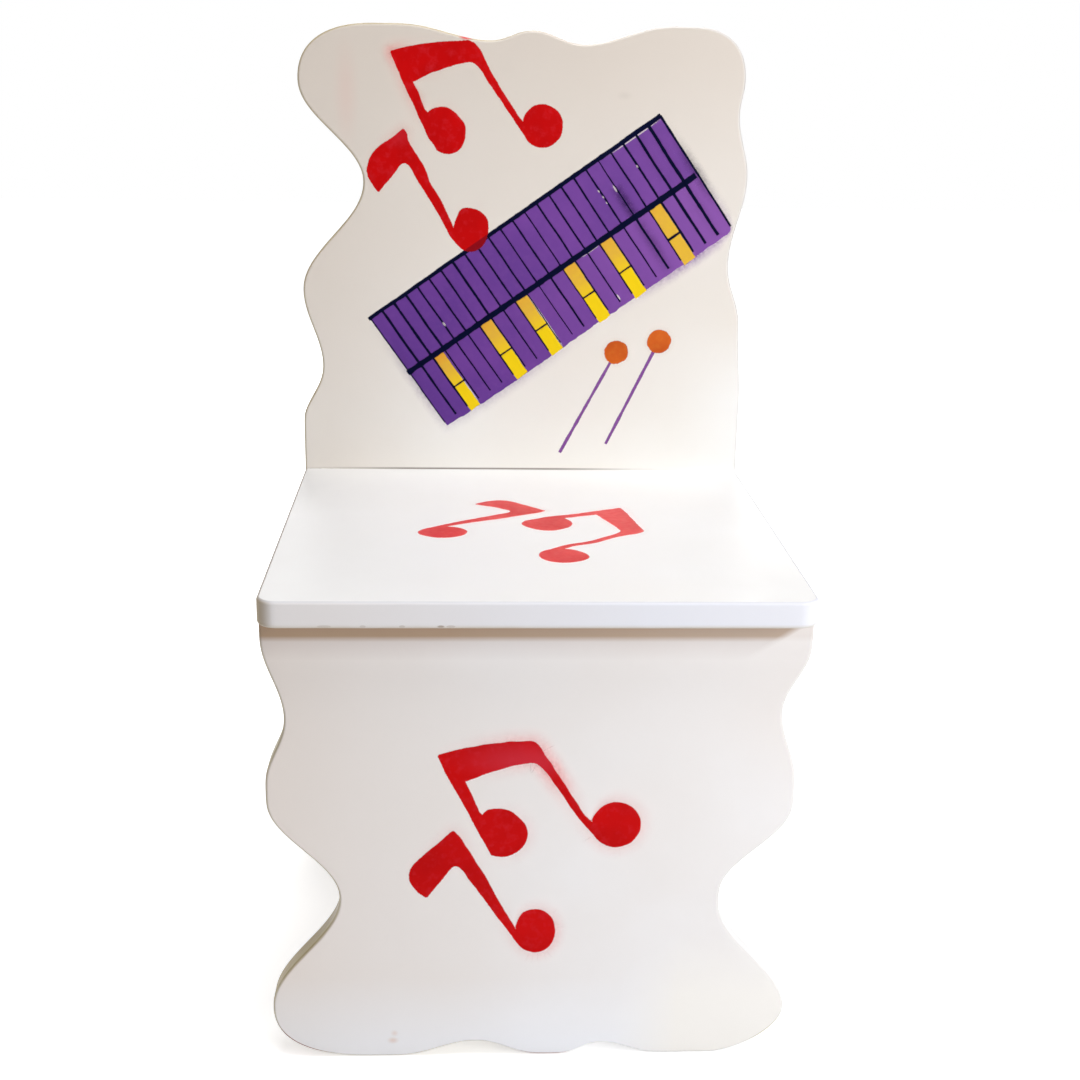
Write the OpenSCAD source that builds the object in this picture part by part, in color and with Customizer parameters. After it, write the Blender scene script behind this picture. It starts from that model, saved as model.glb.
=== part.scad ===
// Children's chair: a wavy front board, a wavy full-height backboard and a flat seat,
// held together by a hidden frame under the seat and decorated with painted music figures.
// Millimetres. X runs to the viewer's right, Y to the back, Z up from the floor.
// The origin is the middle of the footprint, on the floor.

/* [Boards] */
// Width of the seat and of both upright boards
board_w = 320; // [290:1:380]
// Thickness of the seat and of both upright boards
board_t = 16; // [14:0.5:20]
// Depth of the seat, from its front edge to the backboard
seat_d = 305; // [270:1:360]
// Height of the top of the seat above the floor
seat_h = 304; // [270:1:360]
// Height of the backboard above the top of the seat
back_h = 316; // [290:1:380]
// How far the seat stands out past the front board
overhang = 16; // [6:0.5:30]
// Radius of the rounded board edges
edge_r = 2; // [1:0.5:5]
// Radius of the two front corners of the seat
seat_corner_r = 12; // [6:1:40]

/* [Frame under the seat] */
// Height of the two side rails
rail_h = 60; // [44:1:80]
// Thickness of the rails and of the stretcher
rail_t = 16; // [14:0.5:22]
// Distance from the side of a board to the outer face of a rail
rail_inset = 22; // [18:1:40]
// Height of the lower stretcher
stretcher_h = 50; // [36:1:80]
// Height of the lower edge of the stretcher above the floor
stretcher_z = 85; // [50:1:130]
// Width and height of the two battens
batten_t = 20; // [18:1:26]
// Length of the two battens
batten_l = 200; // [180:1:210]

/* [Fixings] */
// Diameter of the wooden dowels
dowel_d = 8; // [6:0.5:10]
// Length of the wooden dowels
dowel_l = 30; // [26:1:34]
// How deep a dowel goes into a board
dowel_bite = 10; // [8:0.5:11]
// Diameter of the wood screws
screw_d = 4; // [3.5:0.1:4.5]
// Length of the wood screws
screw_l = 30; // [28:0.5:31]
// How far a countersunk head lies below the surface
screw_sink = 0.4; // [0.2:0.1:1]
// Length of each leg of a corner bracket
bracket_leg = 26; // [24:1:32]
// Width of a corner bracket
bracket_w = 16; // [14:1:22]
// Thickness of a corner bracket
bracket_t = 1.5; // [1:0.1:2.5]
// Distance from the front and back boards to the middle of the nearer brackets
bracket_from_end = 52; // [44:1:70]
// Diameter of the bracket screws
small_screw_d = 3.2; // [2.6:0.1:3.6]
// Length of the bracket screws under the head
small_screw_l = 12; // [9:0.5:13]

/* [Painted figures] */
// Thickness of the paint
paint_t = 0.3; // [0.2:0.05:0.6]
// Size of one unit of the notes' stencil, which is 122 units wide
note_unit = 1; // [0.8:0.01:1.05]
// Radius of the corners of the stencilled notes
note_corner_r = 1.2; // [0.4:0.1:2]
// Length of the painted xylophone
xylo_l = 250; // [200:1:270]
// Width of the painted xylophone
xylo_w = 99; // [80:1:110]
// Number of painted bars along the xylophone
xylo_bars = 24; // [22:1:30]
// Tilt of the painted xylophone
xylo_tilt = 35.2; // [25:0.1:45]
// Width of the line between two bars
thin_line = 1.2; // [0.8:0.1:2]
// Width of the line along the top of the xylophone
top_line = 3; // [2:0.1:5]
// Width of the line along the middle of the xylophone
middle_line = 4; // [2:0.1:6]
// Radius of the mallet heads
mallet_r = 8.3; // [6:0.1:11]
// Length of a mallet, from the middle of its head to the end of its stick
mallet_l = 85; // [60:1:95]
// Width of the mallet sticks
stick_w = 2; // [1.4:0.1:3]

/* [Hidden] */
$fn = 48;

// Places that follow from the driving sizes
half_w = board_w / 2;
depth = seat_d + board_t;
seat_front_y = -depth / 2;
back_face_y = seat_front_y + seat_d;
back_rear_y = back_face_y + board_t;
front_face_y = seat_front_y + overhang;
front_rear_y = front_face_y + board_t;
under_seat_z = seat_h - board_t;
top_z = seat_h + back_h;
rail_l = back_face_y - front_rear_y;
rail_x = half_w - rail_inset - rail_t / 2;
rail_z = under_seat_z - rail_h / 2;
stretcher_mid_z = stretcher_z + stretcher_h / 2;
batten_z = under_seat_z - batten_t / 2;

// Clearances
fit = 0.05;     // round a dowel or a screw, on the radius
end_gap = 0.5;  // between the end of a dowel or a screw and the bottom of its hole
cut = 1;        // how far a cutting shape runs past the surface that it opens

// Wavy edges: each list runs along one edge of a board from one turning point to the next.
// The first number is the place along the edge, in percent of its length. The second is how far
// the edge lies in from the straight side there, in percent of the board's width. What would
// stand out past the side is cut off there.
leg_left = [[100, 0], [96, 0], [78.6, 4], [64.5, 0.2], [60, 0.2], [38.3, 13.4], [12.6, 0.25]];
leg_foot = [[20, 0], [24.4, 0], [39.2, 3.1], [51.2, 0], [55.5, 0], [63.3, 2.5], [74.4, 0], [85, 0]];
leg_right = [
    [10.5, 0.9], [36.3, 14.75], [38.9, 14.75], [59, 1.6], [64.4, 1.6], [79.9, 4.8], [94, 0], [100, 0]
];
back_right = [[0, 0], [16.5, 0], [34.3, 0.95], [48.2, 4.1], [67.7, 0.7], [81.4, 3.15], [88.6, 2.2]];
back_top = [[85.4, 0], [81.8, 0], [61.9, 4.2], [51.1, 1.4], [42.1, 3.7], [22.6, 0.5], [17.6, 0.5]];
back_left = [[87.3, 0.35], [65.8, 14.3], [41.7, 0.5], [24.2, 4.6], [9.8, -0.6], [0, -0.6]];
wave_step = 7;             // longest chord along a wavy edge
foot_shapes = [2.5, 1.6];  // of the left and right lobes: 2 is an ellipse, more is squarer
top_shapes = [2.4, 2.4];
lobe_steps = 8;
edge_steps = 3;            // chords in a rounded edge

leg_h = under_seat_z;  // the waves of the leg run from the floor to the underside of the seat

// Half a cosine wave from turning point a to turning point b, without a itself
function half_wave(a, b, along) =
    let(run = abs(b[0] - a[0]) / 100 * along, deep = abs(b[1] - a[1]) / 100 * board_w)
    let(n = deep == 0 ? 1 : max(3, ceil(norm([run, deep]) / wave_step)))
    [for (i = [1:n])
        [a[0] + (b[0] - a[0]) * i / n,
         a[1] + (b[1] - a[1]) * (1 - cos(180 * i / n)) / 2]];

// A whole wave, as lengths along the edge and depths
function wave(turns, along) =
    [for (p = [turns[0], for (i = [1:len(turns) - 1]) each half_wave(turns[i - 1], turns[i], along)])
        [p[0] / 100 * along, max(0, p[1]) / 100 * board_w]];

// A wave laid along the left side, the right side, the foot or the top of a board
function on_left(turns, low, high) = [for (p = wave(turns, high - low)) [-half_w + p[1], low + p[0]]];
function on_right(turns, low, high) = [for (p = wave(turns, high - low)) [half_w - p[1], low + p[0]]];
function on_foot(turns) = [for (p = wave(turns, board_w)) [-half_w + p[0], p[1]]];
function on_top(turns, top) = [for (p = wave(turns, board_w)) [-half_w + p[0], top - p[1]]];

// A rounded lobe from a to b. It leaves a upright if upright is true, and level if not.
function lobe(a, b, upright, shape) =
    [for (i = [1:lobe_steps - 1])
        let(t = 90 * i / lobe_steps, s = pow(sin(t), 2 / shape), c = pow(cos(t), 2 / shape))
        upright ? [b[0] + (a[0] - b[0]) * c, a[1] + (b[1] - a[1]) * s]
                : [a[0] + (b[0] - a[0]) * s, b[1] + (a[1] - b[1]) * c]];

function last(list) = list[len(list) - 1];

// Points inside the boards from which the whole edge of that half can be seen
leg_hub = [0, leg_h / 2];
back_hub = [0, seat_h + back_h / 2];
seat_hub = [0, seat_d / 2];

function leg_outline() =
    let(left = on_left(leg_left, 0, leg_h), foot = on_foot(leg_foot), right = on_right(leg_right, 0, leg_h))
    [each left, each lobe(last(left), foot[0], true, foot_shapes[0]), each foot,
     each lobe(last(foot), right[0], false, foot_shapes[1]), each right];

function back_outline() =
    let(right = on_right(back_right, seat_h, top_z), top = on_top(back_top, top_z))
    let(left = on_left(back_left, seat_h, top_z))
    [each leg_outline(), each right, each lobe(last(right), top[0], true, top_shapes[1]), each top,
     each lobe(last(top), left[0], false, top_shapes[0]), each left];

// The seat runs square into the backboard and is rounded at its front corners
function arc(centre, r, from, to) =
    [for (i = [0:lobe_steps]) let(t = from + (to - from) * i / lobe_steps) centre + r * [cos(t), sin(t)]];
function seat_outline() =
    [[-half_w, seat_d],
     each arc([-half_w + seat_corner_r, seat_corner_r], seat_corner_r, 180, 270),
     each arc([half_w - seat_corner_r, seat_corner_r], seat_corner_r, 270, 360),
     [half_w, seat_d]];

// The outline moved in by e, square to the edge. Its closing side stays where it is.
function moved_in(outline, e) =
    [for (i = [0:len(outline) - 1])
        let(before = outline[max(i - 1, 0)], after = outline[min(i + 1, len(outline) - 1)])
        let(along = (after - before) / norm(after - before))
        outline[i] + e * [-along[1], along[0]]];

// A board with the given outline and rounded edges, from z = 0 to its thickness. Its flat faces
// are laid in spokes round the hubs: the first hub sees the points before split, the second
// sees those from split on.
module rounded_board(outline, t, r, hubs, split) {
    n = len(outline);
    bends = [for (i = [0:edge_steps]) 90 * i / edge_steps];
    rings = [
        for (a = bends) [r * (1 - sin(a)), r * (1 - cos(a))],
        for (i = [edge_steps:-1:0]) [r * (1 - sin(bends[i])), t - r * (1 - cos(bends[i]))]
    ];
    last_ring = len(rings) - 1;
    front_hub = (last_ring + 1) * n;
    rear_hub = front_hub + len(hubs);
    points = [
        for (ring = rings) for (p = moved_in(outline, ring[0])) [p[0], p[1], ring[1]],
        for (z = [0, t]) for (hub = hubs) [hub[0], hub[1], z]
    ];
    faces = [
        for (i = [0:n - 1])
            let(j = (i + 1) % n, a = i < split ? 0 : 1, b = j < split ? 0 : 1)
            a == b ? [front_hub + a, i, j] : [front_hub + a, i, j, front_hub + b],
        for (k = [0:last_ring - 1]) for (i = [0:n - 1])
            let(j = (i + 1) % n) [k * n + i, (k + 1) * n + i, (k + 1) * n + j, k * n + j],
        for (i = [0:n - 1])
            let(j = (i + 1) % n, a = i < split ? 0 : 1, b = j < split ? 0 : 1, k = last_ring * n)
            a == b ? [rear_hub + a, k + j, k + i] : [rear_hub + b, k + j, k + i, rear_hub + a]
    ];
    polyhedron(points, faces, convexity = 10);
}

// Stands a flat shape upright, so that its z = 0 side faces the viewer at the given y
module upright(y) {
    translate([0, y, 0]) rotate([90, 0, 0]) mirror([0, 0, 1]) children();
}

// Fixings. A screw points down with the top of its head at z = 0.
head_r = screw_d;
head_h = head_r - screw_d / 2;
tip_h = screw_d;
recess = [0.22 * screw_d, 1.1 * screw_d, 0.35 * screw_d];
small_head_r = small_screw_d;
small_head_h = 0.6 * small_screw_d;

module cross_recess(size) {
    for (turn = [0, 90])
        rotate(turn) translate([-size[0] / 2, -size[1] / 2, -size[2]])
            cube([size[0], size[1], size[2] + cut]);
}

module wood_screw() {
    color("silver") difference() {
        union() {
            translate([0, 0, -head_h]) cylinder(h = head_h, r1 = screw_d / 2, r2 = head_r);
            translate([0, 0, tip_h - screw_l]) cylinder(h = screw_l - tip_h - head_h, r = screw_d / 2);
            translate([0, 0, -screw_l]) cylinder(h = tip_h, r1 = screw_d / 8, r2 = screw_d / 2);
        }
        cross_recess(recess);
    }
}

module wood_screw_hole() {
    r = screw_d / 2 + fit;
    translate([0, 0, -head_h - fit]) cylinder(h = head_h, r1 = r, r2 = head_r + fit);
    translate([0, 0, -fit]) cylinder(h = screw_sink + cut, r = head_r + fit);
    translate([0, 0, -screw_l - end_gap]) cylinder(h = screw_l + end_gap, r = r);
}

module small_screw() {
    color("gold") difference() {
        union() {
            cylinder(h = small_head_h, r1 = small_head_r, r2 = 0.7 * small_head_r);
            translate([0, 0, small_screw_d - small_screw_l])
                cylinder(h = small_screw_l - small_screw_d, r = small_screw_d / 2);
            translate([0, 0, -small_screw_l])
                cylinder(h = small_screw_d, r1 = small_screw_d / 8, r2 = small_screw_d / 2);
        }
        translate([0, 0, small_head_h]) cross_recess(recess * small_screw_d / screw_d);
    }
}

module small_screw_hole() {
    translate([0, 0, -small_screw_l - end_gap])
        cylinder(h = small_screw_l + end_gap + cut, r = small_screw_d / 2 + fit);
}

// Points straight back from y = 0, as a dowel does in the end of a rail
module backwards() {
    rotate([-90, 0, 0]) children();
}

module dowel() {
    color("burlywood") backwards() cylinder(h = dowel_l, r = dowel_d / 2);
}

module dowel_hole() {
    backwards() translate([0, 0, -end_gap])
        cylinder(h = dowel_l + 2 * end_gap, r = dowel_d / 2 + fit);
}

// Where the dowels start, front and rear. Each bites into its board by dowel_bite.
front_dowel_y = front_rear_y - dowel_bite;
rear_dowel_y = back_face_y + dowel_bite - dowel_l;
rail_dowel_pitch = rail_h / 2;
stretcher_dowel_pitch = stretcher_h / 2;

module at_rail_dowels(y) {
    for (side = [-1, 1]) for (up = [-1, 1])
        translate([side * rail_x, y, rail_z + up * rail_dowel_pitch / 2]) children();
}

module at_stretcher_dowels(y) {
    for (up = [-1, 1])
        translate([0, y, stretcher_mid_z + up * stretcher_dowel_pitch / 2]) children();
}

// Screws through the battens alternate, so that those going up miss those going forwards
level_screw_xs = [-1, 0, 1] * 0.4 * batten_l;
rising_screw_xs = [-1, 1] * 0.2 * batten_l;
front_batten_y = front_rear_y + batten_t / 2;
rear_batten_y = back_face_y - batten_t / 2;

module at_backboard_screws() {
    for (x = level_screw_xs)
        translate([x, back_rear_y - screw_sink, batten_z]) rotate([-90, 0, 0]) children();
}

module at_front_batten_screws() {
    for (x = level_screw_xs)
        translate([x, front_rear_y + batten_t - screw_sink, batten_z]) rotate([-90, 0, 0]) children();
}

module at_seat_screws() {
    for (x = rising_screw_xs) for (y = [front_batten_y, rear_batten_y])
        translate([x, y, under_seat_z - batten_t + screw_sink]) rotate([180, 0, 0]) children();
}

// Brackets stand inside the rails, under the seat. bracket_screw_at is measured from the corner.
bracket_x = rail_x - rail_t / 2;
bracket_y = [front_rear_y + bracket_from_end, back_face_y - bracket_from_end];
bracket_screw_at = [0.38, 0.78] * bracket_leg;
bend_r = 2 * bracket_t;

// Places a bracket corner against the seat and a rail. side is -1 for left and 1 for right.
module at_bracket(side, y) {
    translate([side * bracket_x, y, under_seat_z]) mirror([side > 0 ? 0 : 1, 0, 0]) children();
}

// The screws of one bracket: up into the seat and outwards into the rail
module at_bracket_screws() {
    for (s = bracket_screw_at) {
        translate([-s, 0, -bracket_t]) rotate([180, 0, 0]) children();
        translate([-bracket_t, 0, -s]) rotate([0, -90, 0]) children();
    }
}

module bracket(side, y) {
    color("gainsboro") at_bracket(side, y) difference() {
        rotate([90, 0, 0]) linear_extrude(bracket_w, center = true) difference() {
            union() {
                translate([-bracket_leg, -bracket_t]) square([bracket_leg - bend_r, bracket_t]);
                translate([-bracket_t, -bracket_leg]) square([bracket_t, bracket_leg - bend_r]);
                intersection() {
                    translate([-bend_r, -bend_r]) circle(r = bend_r);
                    translate([-bend_r, -bend_r]) square(bend_r);
                }
            }
            translate([-bend_r, -bend_r]) circle(r = bend_r - bracket_t);
        }
        at_bracket_screws() small_screw_hole();
    }
}

// Cuts every bracket's screw holes out of its children
module at_all_bracket_screws() {
    for (side = [-1, 1]) for (y = bracket_y) at_bracket(side, y) at_bracket_screws() children();
}

// The three boards
module backboard() {
    color("antiquewhite") difference() {
        upright(back_face_y)
            rounded_board(back_outline(), board_t, edge_r, [leg_hub, back_hub], len(leg_outline()));
        at_rail_dowels(rear_dowel_y) dowel_hole();
        at_stretcher_dowels(rear_dowel_y) dowel_hole();
        at_backboard_screws() wood_screw_hole();
    }
}

module front_board() {
    color("linen") difference() {
        upright(front_face_y)
            rounded_board(leg_outline(), board_t, edge_r, [leg_hub], len(leg_outline()));
        at_rail_dowels(front_dowel_y) dowel_hole();
        at_stretcher_dowels(front_dowel_y) dowel_hole();
        at_front_batten_screws() wood_screw_hole();
    }
}

module seat_board() {
    color("white") difference() {
        translate([0, seat_front_y, under_seat_z])
            rounded_board(seat_outline(), board_t, edge_r, [seat_hub], len(seat_outline()));
        at_seat_screws() wood_screw_hole();
        at_all_bracket_screws() small_screw_hole();
    }
}

// The frame under the seat
module side_rail(side) {
    color("oldlace") difference() {
        translate([side * rail_x - rail_t / 2, front_rear_y, under_seat_z - rail_h])
            cube([rail_t, rail_l, rail_h]);
        at_rail_dowels(front_dowel_y) dowel_hole();
        at_rail_dowels(rear_dowel_y) dowel_hole();
        at_all_bracket_screws() small_screw_hole();
    }
}

module left_side_rail() {
    side_rail(-1);
}

module right_side_rail() {
    side_rail(1);
}

module lower_stretcher() {
    color("oldlace") difference() {
        translate([-rail_t / 2, front_rear_y, stretcher_z]) cube([rail_t, rail_l, stretcher_h]);
        at_stretcher_dowels(front_dowel_y) dowel_hole();
        at_stretcher_dowels(rear_dowel_y) dowel_hole();
    }
}

module batten(y) {
    color("wheat") difference() {
        translate([-batten_l / 2, y - batten_t / 2, under_seat_z - batten_t])
            cube([batten_l, batten_t, batten_t]);
        at_backboard_screws() wood_screw_hole();
        at_front_batten_screws() wood_screw_hole();
        at_seat_screws() wood_screw_hole();
    }
}

module front_batten() {
    batten(front_batten_y);
}

module rear_batten() {
    batten(rear_batten_y);
}

// The fixings
module front_rail_dowels() {
    at_rail_dowels(front_dowel_y) dowel();
}

module rear_rail_dowels() {
    at_rail_dowels(rear_dowel_y) dowel();
}

module stretcher_dowels() {
    for (y = [front_dowel_y, rear_dowel_y]) at_stretcher_dowels(y) dowel();
}

module left_front_bracket() {
    bracket(-1, bracket_y[0]);
}

module right_front_bracket() {
    bracket(1, bracket_y[0]);
}

module left_rear_bracket() {
    bracket(-1, bracket_y[1]);
}

module right_rear_bracket() {
    bracket(1, bracket_y[1]);
}

module bracket_screws() {
    at_all_bracket_screws() small_screw();
}

module backboard_screws() {
    at_backboard_screws() wood_screw();
}

module front_batten_screws() {
    at_front_batten_screws() wood_screw();
}

module seat_screws() {
    at_seat_screws() wood_screw();
}

// Painted figures. The stencil's beamed pair is drawn from the top left corner of its beam, and
// its single note from the top of its flag, in stencil units.
pair_heads = [[38.2, -50.8], [106.8, -45.6]];
pair_head_r = [15.6, 14.7];
single_head = [50.2, -67.3];
single_head_r = [12, 14.8];   // across and up

// A curve from a to c, drawn towards b
function bow(a, b, c) =
    [for (i = [0:lobe_steps])
        let(t = i / lobe_steps) (1 - t) * (1 - t) * a + 2 * t * (1 - t) * b + t * t * c];

function ellipse(centre, r) =
    [for (i = [1:$fn]) centre + [r[0] * cos(360 * i / $fn), r[1] * sin(360 * i / $fn)]];

module soft_corners() {
    offset(r = note_corner_r) offset(delta = -note_corner_r) children();
}

// The left head is flat where it meets the line of its stem
module beamed_notes_shape() {
    soft_corners() scale(note_unit) difference() {
        union() {
            polygon([
                each bow([0, 0], [26, 8.5], [55, 9]),
                each bow([55, 9], [60.5, 8], [63.5, 1.5]),
                [70, -10.5], [88, -38.5], [93.5, -45], pair_heads[1],
                each bow([97, -56], [86, -44], [78.5, -31.5]),
                each bow([68.5, -17.5], [60, -3], [54, -5]),
                each bow([54, -5], [36, -8], [17, -17]),
                [25.5, -38], pair_heads[0], [29.5, -60.5]
            ]);
            for (i = [0:1]) translate(pair_heads[i]) circle(r = pair_head_r[i]);
        }
        polygon([[0, 0], [34, -69], [0, -69]]);
    }
}

module single_note_shape() {
    soft_corners() scale(note_unit) union() {
        polygon([
            [0, 0.5], [4, -3.5], [19, -29.5], [29, -49.5], [39, -67], single_head,
            [44, -80.5], [29, -60.5],
            each bow([9, -31], [2, -17], [-4, -28]),
            each bow([-4, -28], [-11, -35], [-16, -44.5]),
            each bow([-16, -44.5], [-34, -32], [-21, -19]),
            [-6, -5]
        ]);
        polygon(ellipse(single_head, single_head_r));
    }
}

// Where each figure's starting point lies and how it is turned. The places are shares of the
// board's width and of the height or the depth: up from the top of the seat on the backboard,
// up from the floor on the front board, back from the front edge on the seat.
back_pair_at = [-0.297 * board_w, 0.937 * back_h];
back_pair_turn = -1.7;
back_single_at = [-0.268 * board_w, 0.773 * back_h];
back_single_turn = -2.5;
front_pair_at = [-0.182 * board_w, 0.67 * seat_h];
front_single_at = [-0.153 * board_w, 0.508 * seat_h];
seat_pair_at = [0.198 * board_w, 0.652 * seat_d];
seat_single_at = [0.036 * board_w, 0.625 * seat_d];
seat_turn = -90;

// Puts a figure on its board's plane
module put(at, turn) {
    translate(at) rotate(turn) children();
}

module on_back() {
    translate([0, seat_h]) children();
}

// Paint lies on a board's flat face and stops where its rounded edge begins
module back_paint() {
    upright(back_face_y - paint_t) linear_extrude(paint_t) intersection() {
        children();
        polygon(moved_in(back_outline(), edge_r));
    }
}

module front_paint() {
    upright(front_face_y - paint_t) linear_extrude(paint_t) children();
}

module seat_paint() {
    translate([0, seat_front_y, seat_h]) linear_extrude(paint_t) children();
}

// The xylophone is drawn with its top left corner at zero and its bars hanging down
xylo_at = [-0.3494 * board_w, 0.3576 * back_h];
bar_pitch = xylo_l / xylo_bars;
yellow_bars = [2, 6, 9, 13, 16, 20];
middle_y = -xylo_w / 2;
short_by = 0.05 * xylo_w;      // how far the lower lines stop above the foot
yellow_split_y = -0.777 * xylo_w;

module on_xylophone() {
    on_back() put(xylo_at, xylo_tilt) children();
}

module line_down(x, from, to) {
    translate([x - thin_line / 2, to]) square([thin_line, from - to]);
}

module yellow_shape() {
    for (i = yellow_bars)
        translate([i * bar_pitch + thin_line / 2, -xylo_w])
            square([bar_pitch - thin_line, xylo_w + middle_y]);
}

module xylo_lines_shape() {
    translate([0, -top_line]) square([xylo_l, top_line]);
    translate([0, middle_y - middle_line / 2]) square([xylo_l, middle_line]);
    for (i = [1:xylo_bars]) line_down(i * bar_pitch - (i == xylo_bars ? thin_line / 2 : 0), 0, middle_y);
    for (i = [1:xylo_bars - 1]) {
        beside = len(search(i, yellow_bars)) + len(search(i - 1, yellow_bars)) > 0;
        line_down(i * bar_pitch, middle_y, beside ? -xylo_w : short_by - xylo_w);
    }
    line_down(xylo_l - thin_line / 2, middle_y, short_by - xylo_w);
    for (i = yellow_bars)
        translate([i * bar_pitch, yellow_split_y]) square([bar_pitch, thin_line]);
}

// The middle of each mallet's head and the slope of its stick
mallets = [
    [0.211 * board_w, 0.28 * back_h, 62.2],
    [0.308 * board_w, 0.306 * back_h, 64.4]
];

module at_mallets() {
    for (m = mallets) on_back() put([m[0], m[1]], m[2]) children();
}

module back_single_note_place() {
    on_back() put(back_single_at, back_single_turn) children();
}

module red() {
    color("firebrick") children();
}

module back_beamed_notes() {
    red() back_paint() on_back() put(back_pair_at, back_pair_turn) beamed_notes_shape();
}

module back_single_note() {
    red() back_paint() back_single_note_place() single_note_shape();
}

module seat_beamed_notes() {
    red() seat_paint() put(seat_pair_at, seat_turn) beamed_notes_shape();
}

module seat_single_note() {
    red() seat_paint() put(seat_single_at, seat_turn) single_note_shape();
}

module front_beamed_notes() {
    red() front_paint() put(front_pair_at, 0) beamed_notes_shape();
}

module front_single_note() {
    red() front_paint() put(front_single_at, 0) single_note_shape();
}

// The single note on the back is painted over the xylophone's edge, which gives way to it
module xylophone_bars() {
    color("rebeccapurple") back_paint() difference() {
        on_xylophone() translate([0, -xylo_w]) square([xylo_l, xylo_w]);
        on_xylophone() xylo_lines_shape();
        on_xylophone() yellow_shape();
        back_single_note_place() single_note_shape();
    }
}

module xylophone_lines() {
    color("midnightblue") back_paint() difference() {
        on_xylophone() xylo_lines_shape();
        back_single_note_place() single_note_shape();
    }
}

module xylophone_yellow_bars() {
    color("gold") back_paint() difference() {
        on_xylophone() yellow_shape();
        on_xylophone() xylo_lines_shape();
    }
}

module mallet_heads() {
    color("chocolate") back_paint() at_mallets() circle(r = mallet_r);
}

module mallet_sticks() {
    color("mediumpurple") back_paint() difference() {
        at_mallets() translate([-mallet_l, -stick_w / 2]) square([mallet_l, stick_w]);
        at_mallets() circle(r = mallet_r);
    }
}

backboard();
front_board();
seat_board();
left_side_rail();
right_side_rail();
lower_stretcher();
front_batten();
rear_batten();
front_rail_dowels();
rear_rail_dowels();
stretcher_dowels();
left_front_bracket();
right_front_bracket();
left_rear_bracket();
right_rear_bracket();
bracket_screws();
backboard_screws();
front_batten_screws();
seat_screws();
back_beamed_notes();
back_single_note();
seat_beamed_notes();
seat_single_note();
front_beamed_notes();
front_single_note();
xylophone_bars();
xylophone_lines();
xylophone_yellow_bars();
mallet_heads();
mallet_sticks();
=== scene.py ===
from math import ceil, cos, dist, exp, hypot, pi, radians, sin

import bmesh
import bpy
from mathutils import Matrix, Vector, noise
from mathutils.geometry import tessellate_polygon
from mathutils.kdtree import KDTree


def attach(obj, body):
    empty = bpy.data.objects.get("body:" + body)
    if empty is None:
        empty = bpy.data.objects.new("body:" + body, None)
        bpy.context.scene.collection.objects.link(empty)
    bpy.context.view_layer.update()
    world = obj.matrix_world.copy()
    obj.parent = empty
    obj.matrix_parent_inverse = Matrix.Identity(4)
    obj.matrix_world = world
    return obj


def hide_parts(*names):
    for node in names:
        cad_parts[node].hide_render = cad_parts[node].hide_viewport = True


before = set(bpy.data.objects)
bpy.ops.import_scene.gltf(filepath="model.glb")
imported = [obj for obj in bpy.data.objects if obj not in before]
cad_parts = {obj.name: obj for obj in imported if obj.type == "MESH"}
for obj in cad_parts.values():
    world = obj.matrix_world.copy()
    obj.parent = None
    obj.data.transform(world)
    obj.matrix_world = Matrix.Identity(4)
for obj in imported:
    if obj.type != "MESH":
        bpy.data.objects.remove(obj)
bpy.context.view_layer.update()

MM = 0.001

# Sizes in millimetres, as in the part's source
BOARD_W = 320
BOARD_T = 16
SEAT_D = 305
SEAT_H = 304
BACK_H = 316
OVERHANG = 16
EDGE_R = 2
SEAT_CORNER_R = 12
HALF_W = BOARD_W / 2
SEAT_FRONT_Y = -(SEAT_D + BOARD_T) / 2
BACK_FACE_Y = SEAT_FRONT_Y + SEAT_D
FRONT_FACE_Y = SEAT_FRONT_Y + OVERHANG
UNDER_SEAT_Z = SEAT_H - BOARD_T
TOP_Z = SEAT_H + BACK_H
LEG_H = UNDER_SEAT_Z

# The waves of the board edges: place along the edge and depth, in percent
LEG_LEFT = [(100, 0), (96, 0), (78.6, 4), (64.5, 0.2), (60, 0.2), (38.3, 13.4), (12.6, 0.25)]
LEG_FOOT = [(20, 0), (24.4, 0), (39.2, 3.1), (51.2, 0), (55.5, 0), (63.3, 2.5), (74.4, 0), (85, 0)]
LEG_RIGHT = [
    (10.5, 0.9), (36.3, 14.75), (38.9, 14.75), (59, 1.6), (64.4, 1.6), (79.9, 4.8), (94, 0),
    (100, 0)
]
BACK_RIGHT = [(0, 0), (16.5, 0), (34.3, 0.95), (48.2, 4.1), (67.7, 0.7), (81.4, 3.15), (88.6, 2.2)]
BACK_TOP = [(85.4, 0), (81.8, 0), (61.9, 4.2), (51.1, 1.4), (42.1, 3.7), (22.6, 0.5), (17.6, 0.5)]
BACK_LEFT = [(87.3, 0.35), (65.8, 14.3), (41.7, 0.5), (24.2, 4.6), (9.8, -0.6), (0, -0.6)]
FOOT_SHAPES = (2.5, 1.6)
TOP_SHAPES = (2.4, 2.4)
WAVE_STEP = 2.5     # chord along a wavy edge
SOFTENINGS = 3      # how often each point of a wavy edge is drawn to its neighbours
LOBE_STEPS = 24
EDGE_STEPS = 6      # chords in a rounded edge

# Screws through the backboard, whose heads show from behind
SCREW_XS = (-80, 0, 80)
SCREW_Z = UNDER_SEAT_Z - 10
SCREW_HOLE_R = 4.05
SCREW_HOLE_DEPTH = 3
HOLE_STEPS = 40

# Marks of use
NOOK_TOP = 282      # the highest place on the front board that shows under the seat's overhang

# Nicks in the seat's lower front edge: place, half the length, strength
NICKS = [
    (-121.3, 4.5, 0.2), (-99.7, 2, 0.22), (-77.7, 2, 0.28), (-55.9, 2.6, 0.7), (-50.3, 3, 0.28)
]

FILM = 0.16         # height of the paint over the board


# Outlines of the boards

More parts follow.
